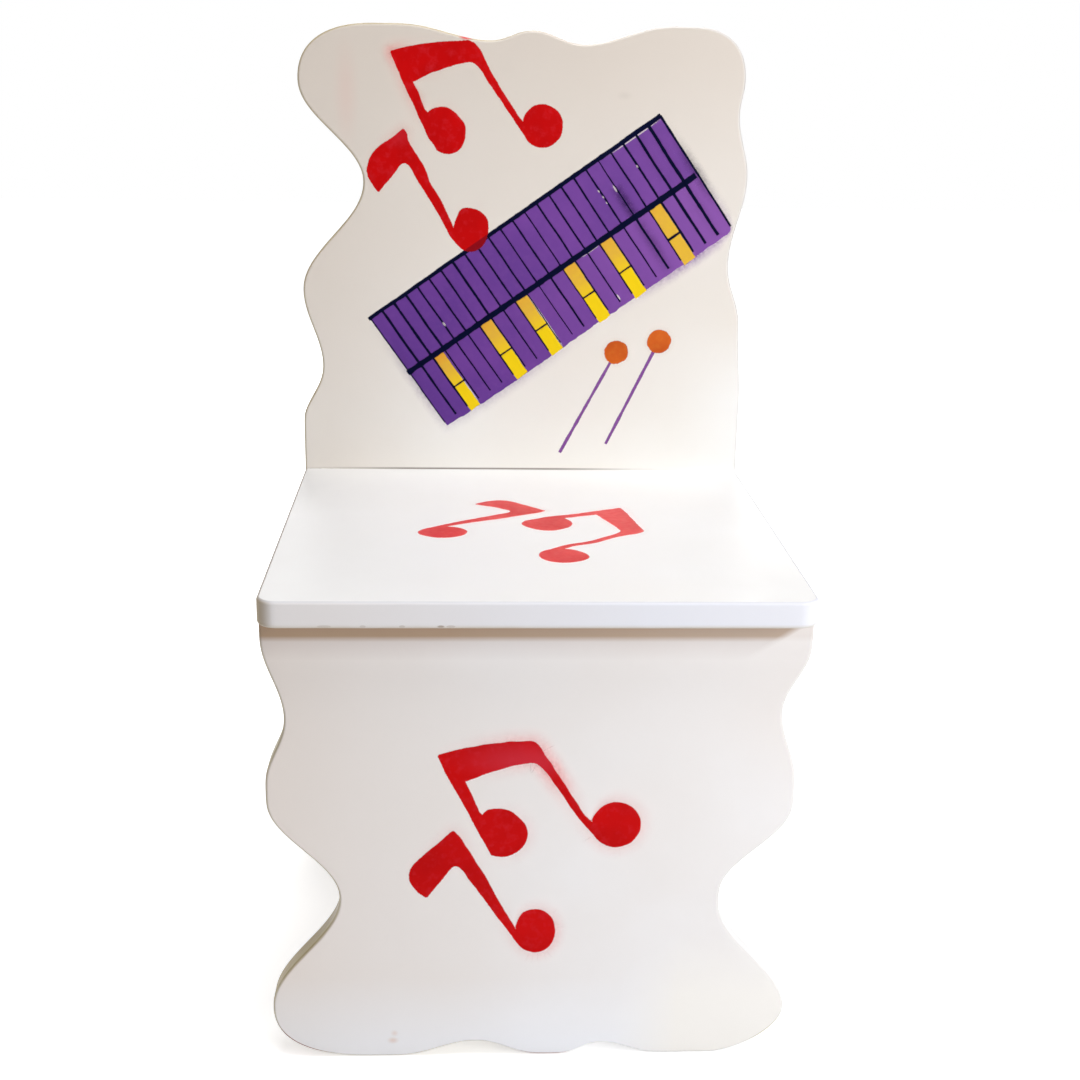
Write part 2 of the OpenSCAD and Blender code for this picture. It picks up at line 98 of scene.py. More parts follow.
def half_wave(a, b, along):
    run = abs(b[0] - a[0]) / 100 * along
    deep = abs(b[1] - a[1]) / 100 * BOARD_W
    n = 1 if deep == 0 else max(3, ceil(hypot(run, deep) / WAVE_STEP))
    return [
        (a[0] + (b[0] - a[0]) * i / n, a[1] + (b[1] - a[1]) * (1 - cos(pi * i / n)) / 2)
        for i in range(1, n + 1)
    ]


def wave(turns, along):
    points = [turns[0]]
    for a, b in zip(turns, turns[1:]):
        points += half_wave(a, b, along)
    return [(p[0] / 100 * along, max(0, p[1]) / 100 * BOARD_W) for p in points]


def on_side(side, turns, low, high):
    """An edge on the left (side -1) or on the right (side 1)."""
    return [(side * (HALF_W - depth), low + place) for place, depth in wave(turns, high - low)]


def on_foot(turns):
    return [(-HALF_W + place, depth) for place, depth in wave(turns, BOARD_W)]


def on_top(turns, top):
    return [(-HALF_W + place, top - depth) for place, depth in wave(turns, BOARD_W)]


def lobe(a, b, upright, shape):
    """The points between a and b on a rounded lobe that leaves a upright, or level."""
    points = []
    for i in range(1, LOBE_STEPS):
        t = pi / 2 * i / LOBE_STEPS
        s = sin(t) ** (2 / shape)
        c = cos(t) ** (2 / shape)
        if upright:
            points.append((b[0] + (a[0] - b[0]) * c, a[1] + (b[1] - a[1]) * s))
        else:
            points.append((a[0] + (b[0] - a[0]) * s, b[1] + (a[1] - b[1]) * c))
    return points


def leg_outline():
    left = on_side(-1, LEG_LEFT, 0, LEG_H)
    foot = on_foot(LEG_FOOT)
    right = on_side(1, LEG_RIGHT, 0, LEG_H)
    return (
        left + lobe(left[-1], foot[0], True, FOOT_SHAPES[0]) + foot
        + lobe(foot[-1], right[0], False, FOOT_SHAPES[1]) + right
    )


def back_outline():
    right = on_side(1, BACK_RIGHT, SEAT_H, TOP_Z)
    top = on_top(BACK_TOP, TOP_Z)
    left = on_side(-1, BACK_LEFT, SEAT_H, TOP_Z)
    return (
        leg_outline() + right + lobe(right[-1], top[0], True, TOP_SHAPES[1]) + top
        + lobe(top[-1], left[0], False, TOP_SHAPES[0]) + left
    )


def softened(outline, closed):
    """The outline in even steps and with its kinks worn round. An open outline keeps its ends."""
    path = outline + outline[:1] if closed else outline
    places = [0]
    for a, b in zip(path, path[1:]):
        places.append(places[-1] + dist(a, b))
    steps = round(places[-1] / WAVE_STEP)
    points = []
    k = 0
    for i in range(steps if closed else steps + 1):
        place = places[-1] * i / steps
        while k < len(path) - 2 and places[k + 1] < place:
            k += 1
        share = (place - places[k]) / (places[k + 1] - places[k])
        points.append(Vector(path[k]).lerp(Vector(path[k + 1]), share))
    n = len(points)
    for _ in range(SOFTENINGS):
        drawn = [(points[i - 1] + 2 * points[i] + points[(i + 1) % n]) / 4 for i in range(n)]
        points = drawn if closed else points[:1] + drawn[1:-1] + points[-1:]
    return [(v.x, v.y) for v in points]


def seat_outline():
    points = [(-HALF_W, SEAT_D)]
    for x, start in ((-HALF_W + SEAT_CORNER_R, 180), (HALF_W - SEAT_CORNER_R, 270)):
        for i in range(LOBE_STEPS + 1):
            a = radians(start + 90 * i / LOBE_STEPS)
            points.append((x + SEAT_CORNER_R * cos(a), SEAT_CORNER_R * (1 + sin(a))))
    return points + [(HALF_W, SEAT_D)]


# Meshes

def linked_object(name, data):
    obj = bpy.data.objects.new(name, data)
    bpy.context.scene.collection.objects.link(obj)
    return obj


def new_object(name, bm, material, slot_name, *nodes):
    """Turns a bmesh in millimetres into a piece of the chair that stands for the CAD nodes."""
    normals = [v.normal.copy() for v in bm.verts]
    mesh = bpy.data.meshes.new(name)
    bmesh.ops.scale(bm, vec=(MM, MM, MM), verts=bm.verts)
    bm.to_mesh(mesh)
    bm.free()
    mesh.shade_smooth()
    mesh.normals_split_custom_set_from_vertices(normals)
    mesh.materials.append(material)
    piece = linked_object(name, mesh)
    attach(piece, "root")
    if nodes:
        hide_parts(*nodes)
    return piece


def add_face(bm, corners):
    """Adds a face that looks the way its corners' normals do."""
    up = Vector((0, 0, 0))
    for a, b in zip(corners, corners[1:] + corners[:1]):
        up += a.co.cross(b.co)
    wanted = sum((v.normal for v in corners), Vector((0, 0, 0)))
    bm.faces.new(corners if up.dot(wanted) > 0 else list(reversed(corners)))


def join_rings(bm, rings, closed=True):
    """Adds the faces between each ring of vertices and the next."""
    n = len(rings[0])
    for ring, following in zip(rings, rings[1:]):
        for i in range(n if closed else n - 1):
            j = (i + 1) % n
            add_face(bm, [ring[i], following[i], following[j], ring[j]])


def fill(bm, loops):
    """Adds a flat face within the first loop of vertices and round the others."""
    flat = [v for loop in loops for v in loop]
    for tri in tessellate_polygon([[v.co for v in loop] for loop in loops]):
        add_face(bm, [flat[i] for i in tri])


def outwards(outline, closed):
    """The direction square to the outline at each point, out of the shape on its left."""
    n = len(outline)
    result = []
    for i in range(n):
        before = outline[(i - 1) % n] if closed else outline[max(i - 1, 0)]
        after = outline[(i + 1) % n] if closed else outline[min(i + 1, n - 1)]
        along = Vector((after[0] - before[0], after[1] - before[1])).normalized()
        result.append(Vector((along.y, -along.x)))
    return result


def moved(p, direction, distance):
    """The place a distance away from p, in a direction given as a vector."""
    return (p[0] + distance * direction.x, p[1] + distance * direction.y)


def circle_points(steps):
    turns = [2 * pi * i / steps for i in range(steps)]
    return [(cos(a), sin(a)) for a in turns]


def add_screw_hole(bm, add, x, y):
    """The wall of a screw hole in the rear face. Returns the loop round its mouth."""
    circle = circle_points(HOLE_STEPS)
    mouth = []
    wall = []
    bottom = []
    for c, s in circle:
        px = x + SCREW_HOLE_R * c
        py = y + SCREW_HOLE_R * s
        mouth.append(add(px, py, BOARD_T, (0, 0, 1), 0))
        wall.append(add(px, py, BOARD_T, (-c, -s, 0), 0))
        bottom.append(add(px, py, BOARD_T - SCREW_HOLE_DEPTH, (-c, -s, 0), 0))
    join_rings(bm, [wall, bottom])
    return mouth


def board(name, outline, place, material, node, holes=(), closed=False):
    """A board with rounded edges. Its outline runs counterclockwise, and place turns (across, up,
    deep) into the chair's own millimetres. An open outline leaves its closing side flat. The
    vertices carry "rim", from 0 on the flat faces to 1 half way round the edge."""
    bm = bmesh.new()
    rim_layer = bm.verts.layers.float.new("rim")
    origin = Vector(place(0, 0, 0))

    def add(x, y, z, normal, rim):
        v = bm.verts.new(place(x, y, z))
        v.normal = (Vector(place(*normal)) - origin).normalized()
        v[rim_layer] = rim
        return v

    out = outwards(outline, closed)
    rings = []
    for i in range(EDGE_STEPS + 1):
        a = pi / 2 * i / EDGE_STEPS
        inset = EDGE_R * (1 - sin(a))
        rings.append((inset, EDGE_R * (1 - cos(a)), sin(a), -cos(a)))
    rings += [(inset, BOARD_T - deep, side, -face) for inset, deep, side, face in reversed(rings)]
    laid = []
    for inset, deep, side, face in rings:
        laid.append([
            add(*moved(p, o, -inset), deep, (side * o.x, side * o.y, face), side)
            for p, o in zip(outline, out)
        ])
    join_rings(bm, laid, closed)
    if not closed:
        first, last = outline[0], outline[-1]
        shut = Vector((first[1] - last[1], last[0] - first[0], 0)).normalized()
        corners = [(0, *ring) for ring in rings] + [(-1, *ring) for ring in reversed(rings)]
        add_face(bm, [
            add(*moved(outline[i], out[i], -inset), deep, shut, 0)
            for i, inset, deep, _, _ in corners
        ])
    mouths = [add_screw_hole(bm, add, x, y) for x, y in holes]
    fill(bm, [laid[0]])
    fill(bm, [laid[-1]] + mouths)
    new_object(name, bm, material, "white_board", node)


def upright_at(y):
    return lambda across, up, deep: (across, y + deep, up)


def lying_at(y, z):
    return lambda across, up, deep: (across, y + up, z + deep)


# Paint films. A film's plane is given by a function from (across, up, height over the board).
SAME_PLACE = 0.01   # corners of a CAD film this near to each other are one
FACES_ALONG = 0.9   # how well the normal of a film's top face fits its direction
SLOW_WAVE = 0.16    # how quickly a hand-cut edge wavers, for each millimetre
QUICK_WAVE = 0.7
FILM_STEP = 1.4     # longest step along a figure's edge
BAR_STEP = 1.6      # longest step along the edge of a bar


def back_plane(across, up, height):
    return (across, BACK_FACE_Y - height, SEAT_H + up)


def front_plane(across, up, height):
    return (across, FRONT_FACE_Y - height, up)


def seat_plane(across, up, height):
    return (across, SEAT_FRONT_Y + up, SEAT_H + height)


def inside(point, polygon):
    """Whether a point lies in a polygon, by counting the sides to its right."""
    x, y = point
    hit = False
    for a, b in zip(polygon, polygon[1:] + polygon[:1]):
        if (a[1] > y) != (b[1] > y) and x < a[0] + (b[0] - a[0]) * (y - a[1]) / (b[1] - a[1]):
            hit = not hit
    return hit


def moved_in(outline, closed, inset):
    return [moved(p, o, -inset) for p, o in zip(outline, outwards(outline, closed))]


def cad_loops(node, flat, facing):
    """The outlines of the face of a CAD film that looks along facing, in the film's plane and
    counterclockwise round the paint. flat turns a point in millimetres into that plane."""
    bm = bmesh.new()
    bm.from_mesh(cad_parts[node].data)
    bmesh.ops.remove_doubles(bm, verts=bm.verts, dist=SAME_PLACE * MM)
    bm.normal_update()
    tops = [face for face in bm.faces if face.normal.dot(facing) >= FACES_ALONG]
    following = {}
    for face in tops:
        for corner in face.loops:
            if not any(f is not face and f in tops for f in corner.edge.link_faces):
                following[corner.vert] = corner.link_loop_next.vert
    loops = []
    while following:
        v = next(iter(following))
        loop = []
        while v in following:
            loop.append(flat(v.co / MM))
            v = following.pop(v)
        loops.append(loop)
    bm.free()
    return loops


def resampled(loop, step):
    """The loop with points added, so that no two are further apart than step."""
    points = []
    for a, b in zip(loop, loop[1:] + loop[:1]):
        n = max(1, ceil(dist(a, b) / step))
        points += [(a[0] + (b[0] - a[0]) * i / n, a[1] + (b[1] - a[1]) * i / n) for i in range(n)]
    return points


def waver(x, y, z):
    """A smooth number round 0 that belongs to the place."""
    return noise.noise(Vector((x, y, z)))


def wobbled(loop, amount, seed):
    """The loop with the small waves of a hand-cut stencil."""
    points = []
    for p, o in zip(loop, outwards(loop, True)):
        slow = waver(p[0] * SLOW_WAVE, p[1] * SLOW_WAVE, seed)
        quick = waver(p[0] * QUICK_WAVE, p[1] * QUICK_WAVE, seed + 9)
        points.append(moved(p, o, amount * (slow + 0.5 * quick)))
    return points


def nearness(p, x, y, radius):
    """1 at the place x, y, falling softly to nothing beyond the radius."""
    return exp(-((p[0] - x) ** 2 + (p[1] - y) ** 2) / radius ** 2)


def nudged(loop, moves):
    """The loop with soft moves. Each is a place, a radius and how far points there go."""
    points = []
    for p in loop:
        shares = [(nearness(p, x, y, radius), mx, my) for x, y, radius, mx, my in moves]
        dx = sum(share * mx for share, mx, my in shares)
        dy = sum(share * my for share, mx, my in shares)
        points.append((p[0] + dx, p[1] + dy))
    return points


RIM_IN = 0.5        # how far inside its outline a film is fully covered
RIM_OUT = 0.7       # how far outside its outline the last of it ends
RIM_DROP = 0.02     # how much lower than the middle the rim's outer edge lies
HALO_DROP = 0.03    # how much lower the halo's outer edge lies
REACH_SLOPE = 0.5   # how much a halo may widen for each millimetre along the outline
REACH_STEP = 0.5
CLEARANCE = 0.95    # share of a halo's reach in which no other side of the outline may lie


def halo_reach(p, out, halo, limit, known):
    """How far the halo runs from p before it leaves the board or comes near another side of the
    outline, whose points are known."""
    reach = halo
    while reach > RIM_OUT:
        q = moved(p, out, reach)
        if known.find((*q, 0))[2] > CLEARANCE * reach and (limit is None or inside(q, limit)):
            return reach
        reach -= REACH_STEP
    return RIM_OUT


def evened_reaches(loop, reaches):
    """The reaches cut back, so that each is little longer than those beside it."""
    n = len(loop)
    for order in (range(2 * n), range(2 * n, 0, -1)):
        for i in order:
            for j in (i - 1, i + 1):
                step = dist(loop[i % n], loop[j % n])
                reaches[i % n] = min(reaches[i % n], reaches[j % n] + REACH_SLOPE * step)
    return reaches


def add_film(bm, loops, plane, height, halo=0, sprays=(), limit=None):
    """Adds a sprayed film: a covered middle, a soft rim, and a halo of overspray. Its vertices
    carry "cover" (1 in the middle, 0 outside the rim) and "spray" (the strength of the halo, 0
    at its far edge)."""
    cover = bm.verts.layers.float["cover"]
    spray = bm.verts.layers.float["spray"]
    up = (Vector(plane(0, 0, 1)) - Vector(plane(0, 0, 0))).normalized()

    def add(p, h, how_covered, how_sprayed):
        v = bm.verts.new(plane(p[0], p[1], h))
        v.normal = up
        v[cover] = how_covered
        v[spray] = how_sprayed
        return v

    known = KDTree(sum(len(loop) for loop in loops))
    for x, y in (p for loop in loops for p in loop):
        known.insert((x, y, 0), 0)
    known.balance()
    middles = []
    for loop in loops:
        out = outwards(loop, True)
        strength = [sum(s * nearness(p, cx, cy, r) for cx, cy, r, s in sprays) for p in loop]
        inner = [add(moved(p, o, -RIM_IN), height, 1, s) for p, o, s in zip(loop, out, strength)]
        outer = []
        for p, o, s in zip(loop, out, strength):
            q = moved(p, o, RIM_OUT)
            kept = limit is None or inside(q, limit)
            outer.append(add(q if kept else p, height - RIM_DROP, 0, s))
        rings = [inner, outer]
        if halo:
            reaches = [halo_reach(p, o, halo, limit, known) for p, o in zip(loop, out)]
            reaches = evened_reaches(loop, reaches)
            rings.append([
                add(moved(p, o, reach), height - HALO_DROP, 0, 0)
                for p, o, reach in zip(loop, out, reaches)
            ])
        join_rings(bm, rings)
        middles.append(inner)
    fill(bm, middles)


def film_mesh():
    bm = bmesh.new()
    for name in ("cover", "spray"):
        bm.verts.layers.float.new(name)
    return bm


def ribbon(points, widths):
    """A closed loop round a line of the given points and widths."""
    edges = list(zip(points, outwards(points, False), widths))
    right = [moved(p, o, width / 2) for p, o, width in edges]
    return right + [moved(p, o, -width / 2) for p, o, width in reversed(edges)]


def new_film(name, bm, material, slot_name, node):
    """A film lies on its board, so it casts no shadow that would grey its thin edges."""
    film = new_object(name, bm, material, slot_name, node)
    film.visible_shadow = False


# Materials

class Nodes:
    """A material's or world's node tree, with short ways to add nodes to it. A value that they
    take is a number, a colour, or the output of another node, which most of them return. base
    is the colour of a paint so far."""

    def __init__(self, owner, shader_name):
        owner.use_nodes = True
        self.owner = owner
        self.tree = owner.node_tree
        self.shader = self.tree.nodes[shader_name]
        self.base = None

    def set(self, name, value):
        self.shader.inputs[name].default_value = value

    def join(self, output, name):
        self.tree.links.new(output, self.shader.inputs[name])

    def painted(self):
        """The finished material, in its base colour."""
        self.join(self.base, "Base Color")
        return self.owner

    def make(self, kind, settings=None, **inputs):
        """Adds a node. An input is named, with "_" for a space, or numbered, as n0 and so on."""
        node = self.tree.nodes.new("ShaderNode" + kind)
        for key, value in (settings or {}).items():
            setattr(node, key, value)
        for key, value in inputs.items():
            socket = node.inputs[int(key[1:]) if key[1:].isdigit() else key.replace("_", " ")]
            if isinstance(value, bpy.types.NodeSocket):
                self.tree.links.new(value, socket)
            else:
                socket.default_value = value
        return node

    def math(self, operation, a, b=0.0, clamp=False):
        settings = {"operation": operation, "use_clamp": clamp}
        return self.make("Math", settings, n0=a, n1=b).outputs[0]

    def product(self, a, b, clamp=False):
        return self.math("MULTIPLY", a, b, clamp)

    def vector(self, operation, *values):
        inputs = {f"n{i}": value for i, value in enumerate(values)}
        return self.make("VectorMath", {"operation": operation}, **inputs)

    def length(self, vector):
        return self.vector("LENGTH", vector).outputs["Value"]

    def ramp(self, value, low, high, to_low=0.0, to_high=1.0, kind="LINEAR"):
        node = self.make(
            "MapRange", {"interpolation_type": kind},
            Value=value, From_Min=low, From_Max=high, To_Min=to_low, To_Max=to_high
        )
        return node.outputs["Result"]

    def faded(self, share, *ramp):
        """The share times a ramp."""
        return self.product(share, self.ramp(*ramp))

    def blend(self, share, a, b):
        """A colour between a and b."""
        return self.make("Mix", {"data_type": "RGBA"}, n0=share, n6=a, n7=b).outputs[2]

    def tint(self, share, tint):
        """Blends the base colour so far towards a tint."""
        self.base = self.blend(share, self.base, tint)

    def attribute(self, name):
        return self.make("Attribute", {"attribute_name": name}).outputs["Fac"]

    def stretched(self, scale, place=(0, 0, 0), turn=(0, 0, 0)):
        """The piece's own coordinates in metres, moved by place, turned and then scaled."""
        position = self.make("TexCoord").outputs["Object"]
        local = self.make(
            "Mapping", {"vector_type": "TEXTURE"}, Vector=position, Location=place, Rotation=turn
        )
        return self.make("Mapping", Vector=local.outputs[0], Scale=scale).outputs[0]

    def place(self, axis):
        """Metres along X, Y or Z."""
        return self.make("SeparateXYZ", Vector=self.stretched((1, 1, 1))).outputs[axis]

    def noise(self, scale, detail, roughness=0.5):
        """Noise whose scale for each metre is one number, or one for each axis."""
        scales = [scale] * 3 if isinstance(scale, (int, float)) else scale
        place = self.stretched(scales)
        node = self.make("TexNoise", Vector=place, Scale=1.0, Detail=detail, Roughness=roughness)
        return node.outputs["Fac"]

    def spot(self, place, size, strength):
        """A soft round spot: strength in its middle and 0 from size on."""
        across = self.stretched([1 / (s * MM) for s in size], [p * MM for p in place])
        return self.ramp(self.length(across), 0.0, 1.0, strength, 0.0, "SMOOTHSTEP")

    def add_spots(self, spots):
        """Tints soft spots. Each is a place, a size, a strength and a colour."""
        for place, size, strength, tint in spots:
            self.tint(self.spot(place, size, strength), tint)

    def bump(self, height, strength, distance):
        node = self.make("Bump", Height=height, Strength=strength, Distance=distance)
        self.join(node.outputs["Normal"], "Normal")


def colour(red, green, blue):
    """A linear colour from the screen's 0 to 255 values."""
    linear = []
    for c in (red / 255, green / 255, blue / 255):
        linear.append(c / 12.92 if c <= 0.04045 else ((c + 0.055) / 1.055) ** 2.4)
    return (*linear, 1.0)


def new_paint(name, roughness, specular=0.5, coat=0.0, metallic=0.0):
    p = Nodes(bpy.data.materials.new(name), "Principled BSDF")
    p.set("Roughness", roughness)
    p.set("Specular IOR Level", specular)
    p.set("Coat Weight", coat)
    p.set("Coat Roughness", 0.15)
    p.set("Metallic", metallic)
    return p


# Colours of the paints
BACK_WHITE = colour(246, 244, 240)
BACK_WARM = colour(242, 237, 230)
BACK_SHADE = colour(222, 211, 200)
BACK_LIT_RIGHT = colour(250, 250, 249)
FRONT_WHITE = colour(246, 244, 245)
FRONT_WARM = colour(242, 237, 235)
FRONT_LEFT_SHADE = colour(240, 231, 225)
FRONT_FOOT_LIGHT = colour(249, 250, 255)
FRONT_FOOT_LIGHT_RIGHT = colour(252, 249, 245)
SEAT_WHITE = colour(248, 248, 248)
SEAT_WARM = colour(246, 245, 243)
SEAT_SHADE_TINT = colour(228, 227, 226)
SEAT_SIDE_SHADE = colour(236, 237, 245)
SEAT_SIDE_SHADE_LEFT = colour(238, 234, 234)
SEAT_CORNER_SHADE = colour(176, 152, 108)
SEAT_ROUNDOVER_SHADE = colour(206, 206, 212)
LIT_WHITE_EDGE = colour(255, 255, 255)
ROUNDOVER_SHADE_GREY = colour(222, 219, 218)
BARE_AND_SHADED_EDGE = colour(178, 156, 90)
DARK_SHADED_EDGE = colour(158, 136, 74)
REDDISH_EDGE_SHADE = colour(150, 92, 80)
NICK_BROWN = colour(150, 128, 108)
OVERHANG_SHADOW_BROWN = colour(155, 115, 63)
OVERHANG_SHADOW_FADE = colour(168, 150, 146)
JOINT_SHADOW_BROWN = colour(104, 86, 74)
SMUDGE = colour(196, 186, 176)
FAINT_STAIN = colour(226, 198, 184)
PINK_DUST = colour(250, 70, 75)
RED = colour(210, 8, 10)
SEAT_LIT_RED = colour(236, 70, 68)
DEEP_RED = colour(188, 6, 8)
FADED_RED = colour(214, 54, 70)
DARK_RED = colour(122, 8, 24)
PURPLE = colour(117, 67, 157)
DEEP_PURPLE = colour(97, 57, 143)
PALE_PURPLE = colour(141, 87, 173)
NAVY = colour(2, 8, 40)
DUSTY_NAVY = colour(10, 18, 62)
GOLD = colour(230, 181, 62)
BRIGHT_YELLOW = colour(249, 214, 8)
WARM_ORANGE = colour(232, 150, 48)
ORANGE = colour(214, 98, 22)
DEEP_ORANGE = colour(190, 74, 14)
LILAC = colour(126, 68, 146)
PALE_LILAC = colour(156, 98, 172)


def board_paint(name, main, warm):
    """Smooth satin lacquer, faintly clouded."""
    p = new_paint(name, 0.4, coat=0.08)
    clouds = p.noise(6, 2.0)
    mottle = p.noise(60, 4.0)
    p.base = p.blend(p.ramp(clouds, 0.35, 0.65), warm, main)
    p.tint(p.ramp(mottle, 0.35, 0.7, 0.0, 0.16), warm)
    p.join(p.ramp(mottle, 0.3, 0.7, 0.36, 0.46), "Roughness")
    peel = p.noise(800, 2.0)
    p.bump(p.math("ADD", peel, mottle), 0.06, 0.0004)
    return p


def bare_and_shaded_sides(p):
    """The sawn side of an upright board: on the left khaki, partly unpainted wood and partly
    painted shade, and on the right a greyed roundover as painted shade and pure white as painted
    light."""
    streaks = p.noise((40, 500, 40), 4.0, 0.6)
    side = p.blend(p.ramp(streaks, 0.3, 0.7), BARE_AND_SHADED_EDGE, DARK_SHADED_EDGE)
    across = p.place("X")
    rim = p.attribute("rim")
    start = p.ramp(across, -0.04, 0.04, 0.25, 0.75)
    bare_and_shade = p.ramp(rim, start, 0.97)
    bare_and_shade = p.faded(bare_and_shade, across, -0.04, 0.04, 0.92, 0.0)
    on_right = p.ramp(across, 0.06, 0.1)
    greyed_roundover = p.faded(on_right, rim, 0.1, 0.5, 0.0, 0.6)
    lit_white = p.faded(on_right, rim, 0.85, 1.0)
    # On the right: painted shade on the roundover, and painted light on the side
    p.tint(greyed_roundover, ROUNDOVER_SHADE_GREY)
    p.tint(lit_white, LIT_WHITE_EDGE)
    p.tint(bare_and_shade, side)


def back_lacquer():
    """Painted shade, warmer and darker, towards the top and the left, and painted light at the
    lower right, with faint smudges, a painted shadow along the joint above the seat and red that
    has run over the top edge beside the beam."""
    p = board_paint("back_lacquer", BACK_WHITE, BACK_WARM)
    height = p.place("Z")
    # Painted shade: darker and warmer towards the top, and towards the left edge
    shaded_upwards = p.ramp(height, (SEAT_H + 30) * MM, (TOP_Z - 20) * MM, 0.0, 0.9)
    p.tint(shaded_upwards, BACK_SHADE)
    across = p.place("X")
    p.tint(p.ramp(across, -0.14, -0.04, 0.5, 0.0), BACK_SHADE)
    # Painted light: lighter at the lower right
    low = p.ramp(height, (SEAT_H + 55) * MM, (SEAT_H + 110) * MM, 1.0, 0.0)
    lit_low_right = p.product(p.ramp(across, 0.11, 0.155, 0.0, 0.7), low)
    p.tint(lit_low_right, BACK_LIT_RIGHT)
    p.add_spots(BACK_STAINS)
    bare_and_shaded_sides(p)
    over = p.spot((-42, BACK_FACE_Y, 610.5), (7, 5, 3), 1.6)
    p.tint(p.math("MINIMUM", over, 1.0), RED)
    # Painted shadow: a thin dark line in the joint above the seat, stronger in some places
    dusty_and_shaded = p.spot((-30, BACK_FACE_Y, SEAT_H), (150, 6, 20), 1.1)
    above = p.math("ABSOLUTE", p.math("SUBTRACT", height, (SEAT_H + 0.3) * MM))
    line = p.ramp(above, 0.5 * MM, 1.3 * MM, 1.0, 0.0)
    line = p.product(line, p.math("MINIMUM", dusty_and_shaded, 0.75))
    p.tint(line, JOINT_SHADOW_BROWN)
    return p.painted()


# Stained places, with the size, strength and colour of each
BACK_STAINS = [
    ((68, BACK_FACE_Y, 573), (7, 20, 4), 0.25, SMUDGE),
    ((-125.5, BACK_FACE_Y, 572), (11, 20, 46), 0.07, PINK_DUST)
]
FRONT_STAINS = [
    ((-86, FRONT_FACE_Y, 11.5), (4.5, 5, 3), 0.6, FAINT_STAIN),
    ((-85, FRONT_FACE_Y, 16.5), (3, 5, 3), 0.4, FAINT_STAIN)
]

# Painted shade on the foot's edge, given the same way
FOOT_EDGE_SHADES = [
    ((-142, FRONT_FACE_Y, 12), (26, 12, 18), 2.0, REDDISH_EDGE_SHADE),
    ((8, FRONT_FACE_Y, 0), (26, 12, 8), 1.2, REDDISH_EDGE_SHADE),
    ((146, FRONT_FACE_Y, 14), (18, 12, 22), 0.8, BARE_AND_SHADED_EDGE)
]


def front_lacquer():
    """Painted shade, warmer and darker, on the left, painted light, cooler and lighter, at the
    foot, painted shade along the foot's edge, and a brown painted shadow under the seat's overhang,
    least so on the right."""
    p = board_paint("front_lacquer", FRONT_WHITE, FRONT_WARM)
    across = p.place("X")
    height = p.place("Z")
    # Painted shade on the left, warmer and darker
    left_shade = p.ramp(across, -0.15, -0.02, 1.0, 0.0)
    left_shade = p.faded(left_shade, height, 0.01, 0.06, 0.3, 1.0)
    p.tint(left_shade, FRONT_LEFT_SHADE)
    # Painted light at the foot, cooler and lighter
    foot = p.blend(p.ramp(across, 0.05, 0.09), FRONT_FOOT_LIGHT, FRONT_FOOT_LIGHT_RIGHT)
    foot_low = p.ramp(across, 0.05, 0.09, 0.01, 0.04)
    foot_high = p.ramp(across, 0.05, 0.09, 0.055, 0.085)
    foot_light = p.ramp(height, foot_low, foot_high, 1.0, 0.0)
    foot_light = p.faded(foot_light, across, -0.14, 0.0, 0.5, 1.0)
    p.tint(foot_light, foot)
    bare_and_shaded_sides(p)
    # Painted shade along the foot's edge
    on_rim = p.ramp(p.attribute("rim"), 0.2, 0.6)
    for place, size, strength, edge_tint in FOOT_EDGE_SHADES:
        rubbed_and_shaded = p.product(p.spot(place, size, strength), on_rim, clamp=True)
        p.tint(rubbed_and_shaded, edge_tint)
    # Painted shadow under the seat's overhang: a brown band and a softer fade below it, ending
    # slanting on the right
    below = p.math("SUBTRACT", NOOK_TOP * MM, height)
    shadow_band = p.ramp(below, 4 * MM, 7.5 * MM, 0.75, 0.0)
    dust_and_shadow = p.ramp(below, 5 * MM, 19 * MM, 0.4, 0.0)
    slanting = p.math("ADD", across, p.product(below, 1.5))
    in_shadow = p.ramp(slanting, (HALF_W - 15) * MM, (HALF_W - 8) * MM, 1.0, 0.2)
    in_shadow = p.faded(in_shadow, across, -0.06, 0.12, 1.0, 0.82)
    p.tint(p.product(dust_and_shadow, in_shadow), OVERHANG_SHADOW_FADE)
    p.tint(p.product(shadow_band, in_shadow), OVERHANG_SHADOW_BROWN)
    p.add_spots(FRONT_STAINS)
    return p.painted()


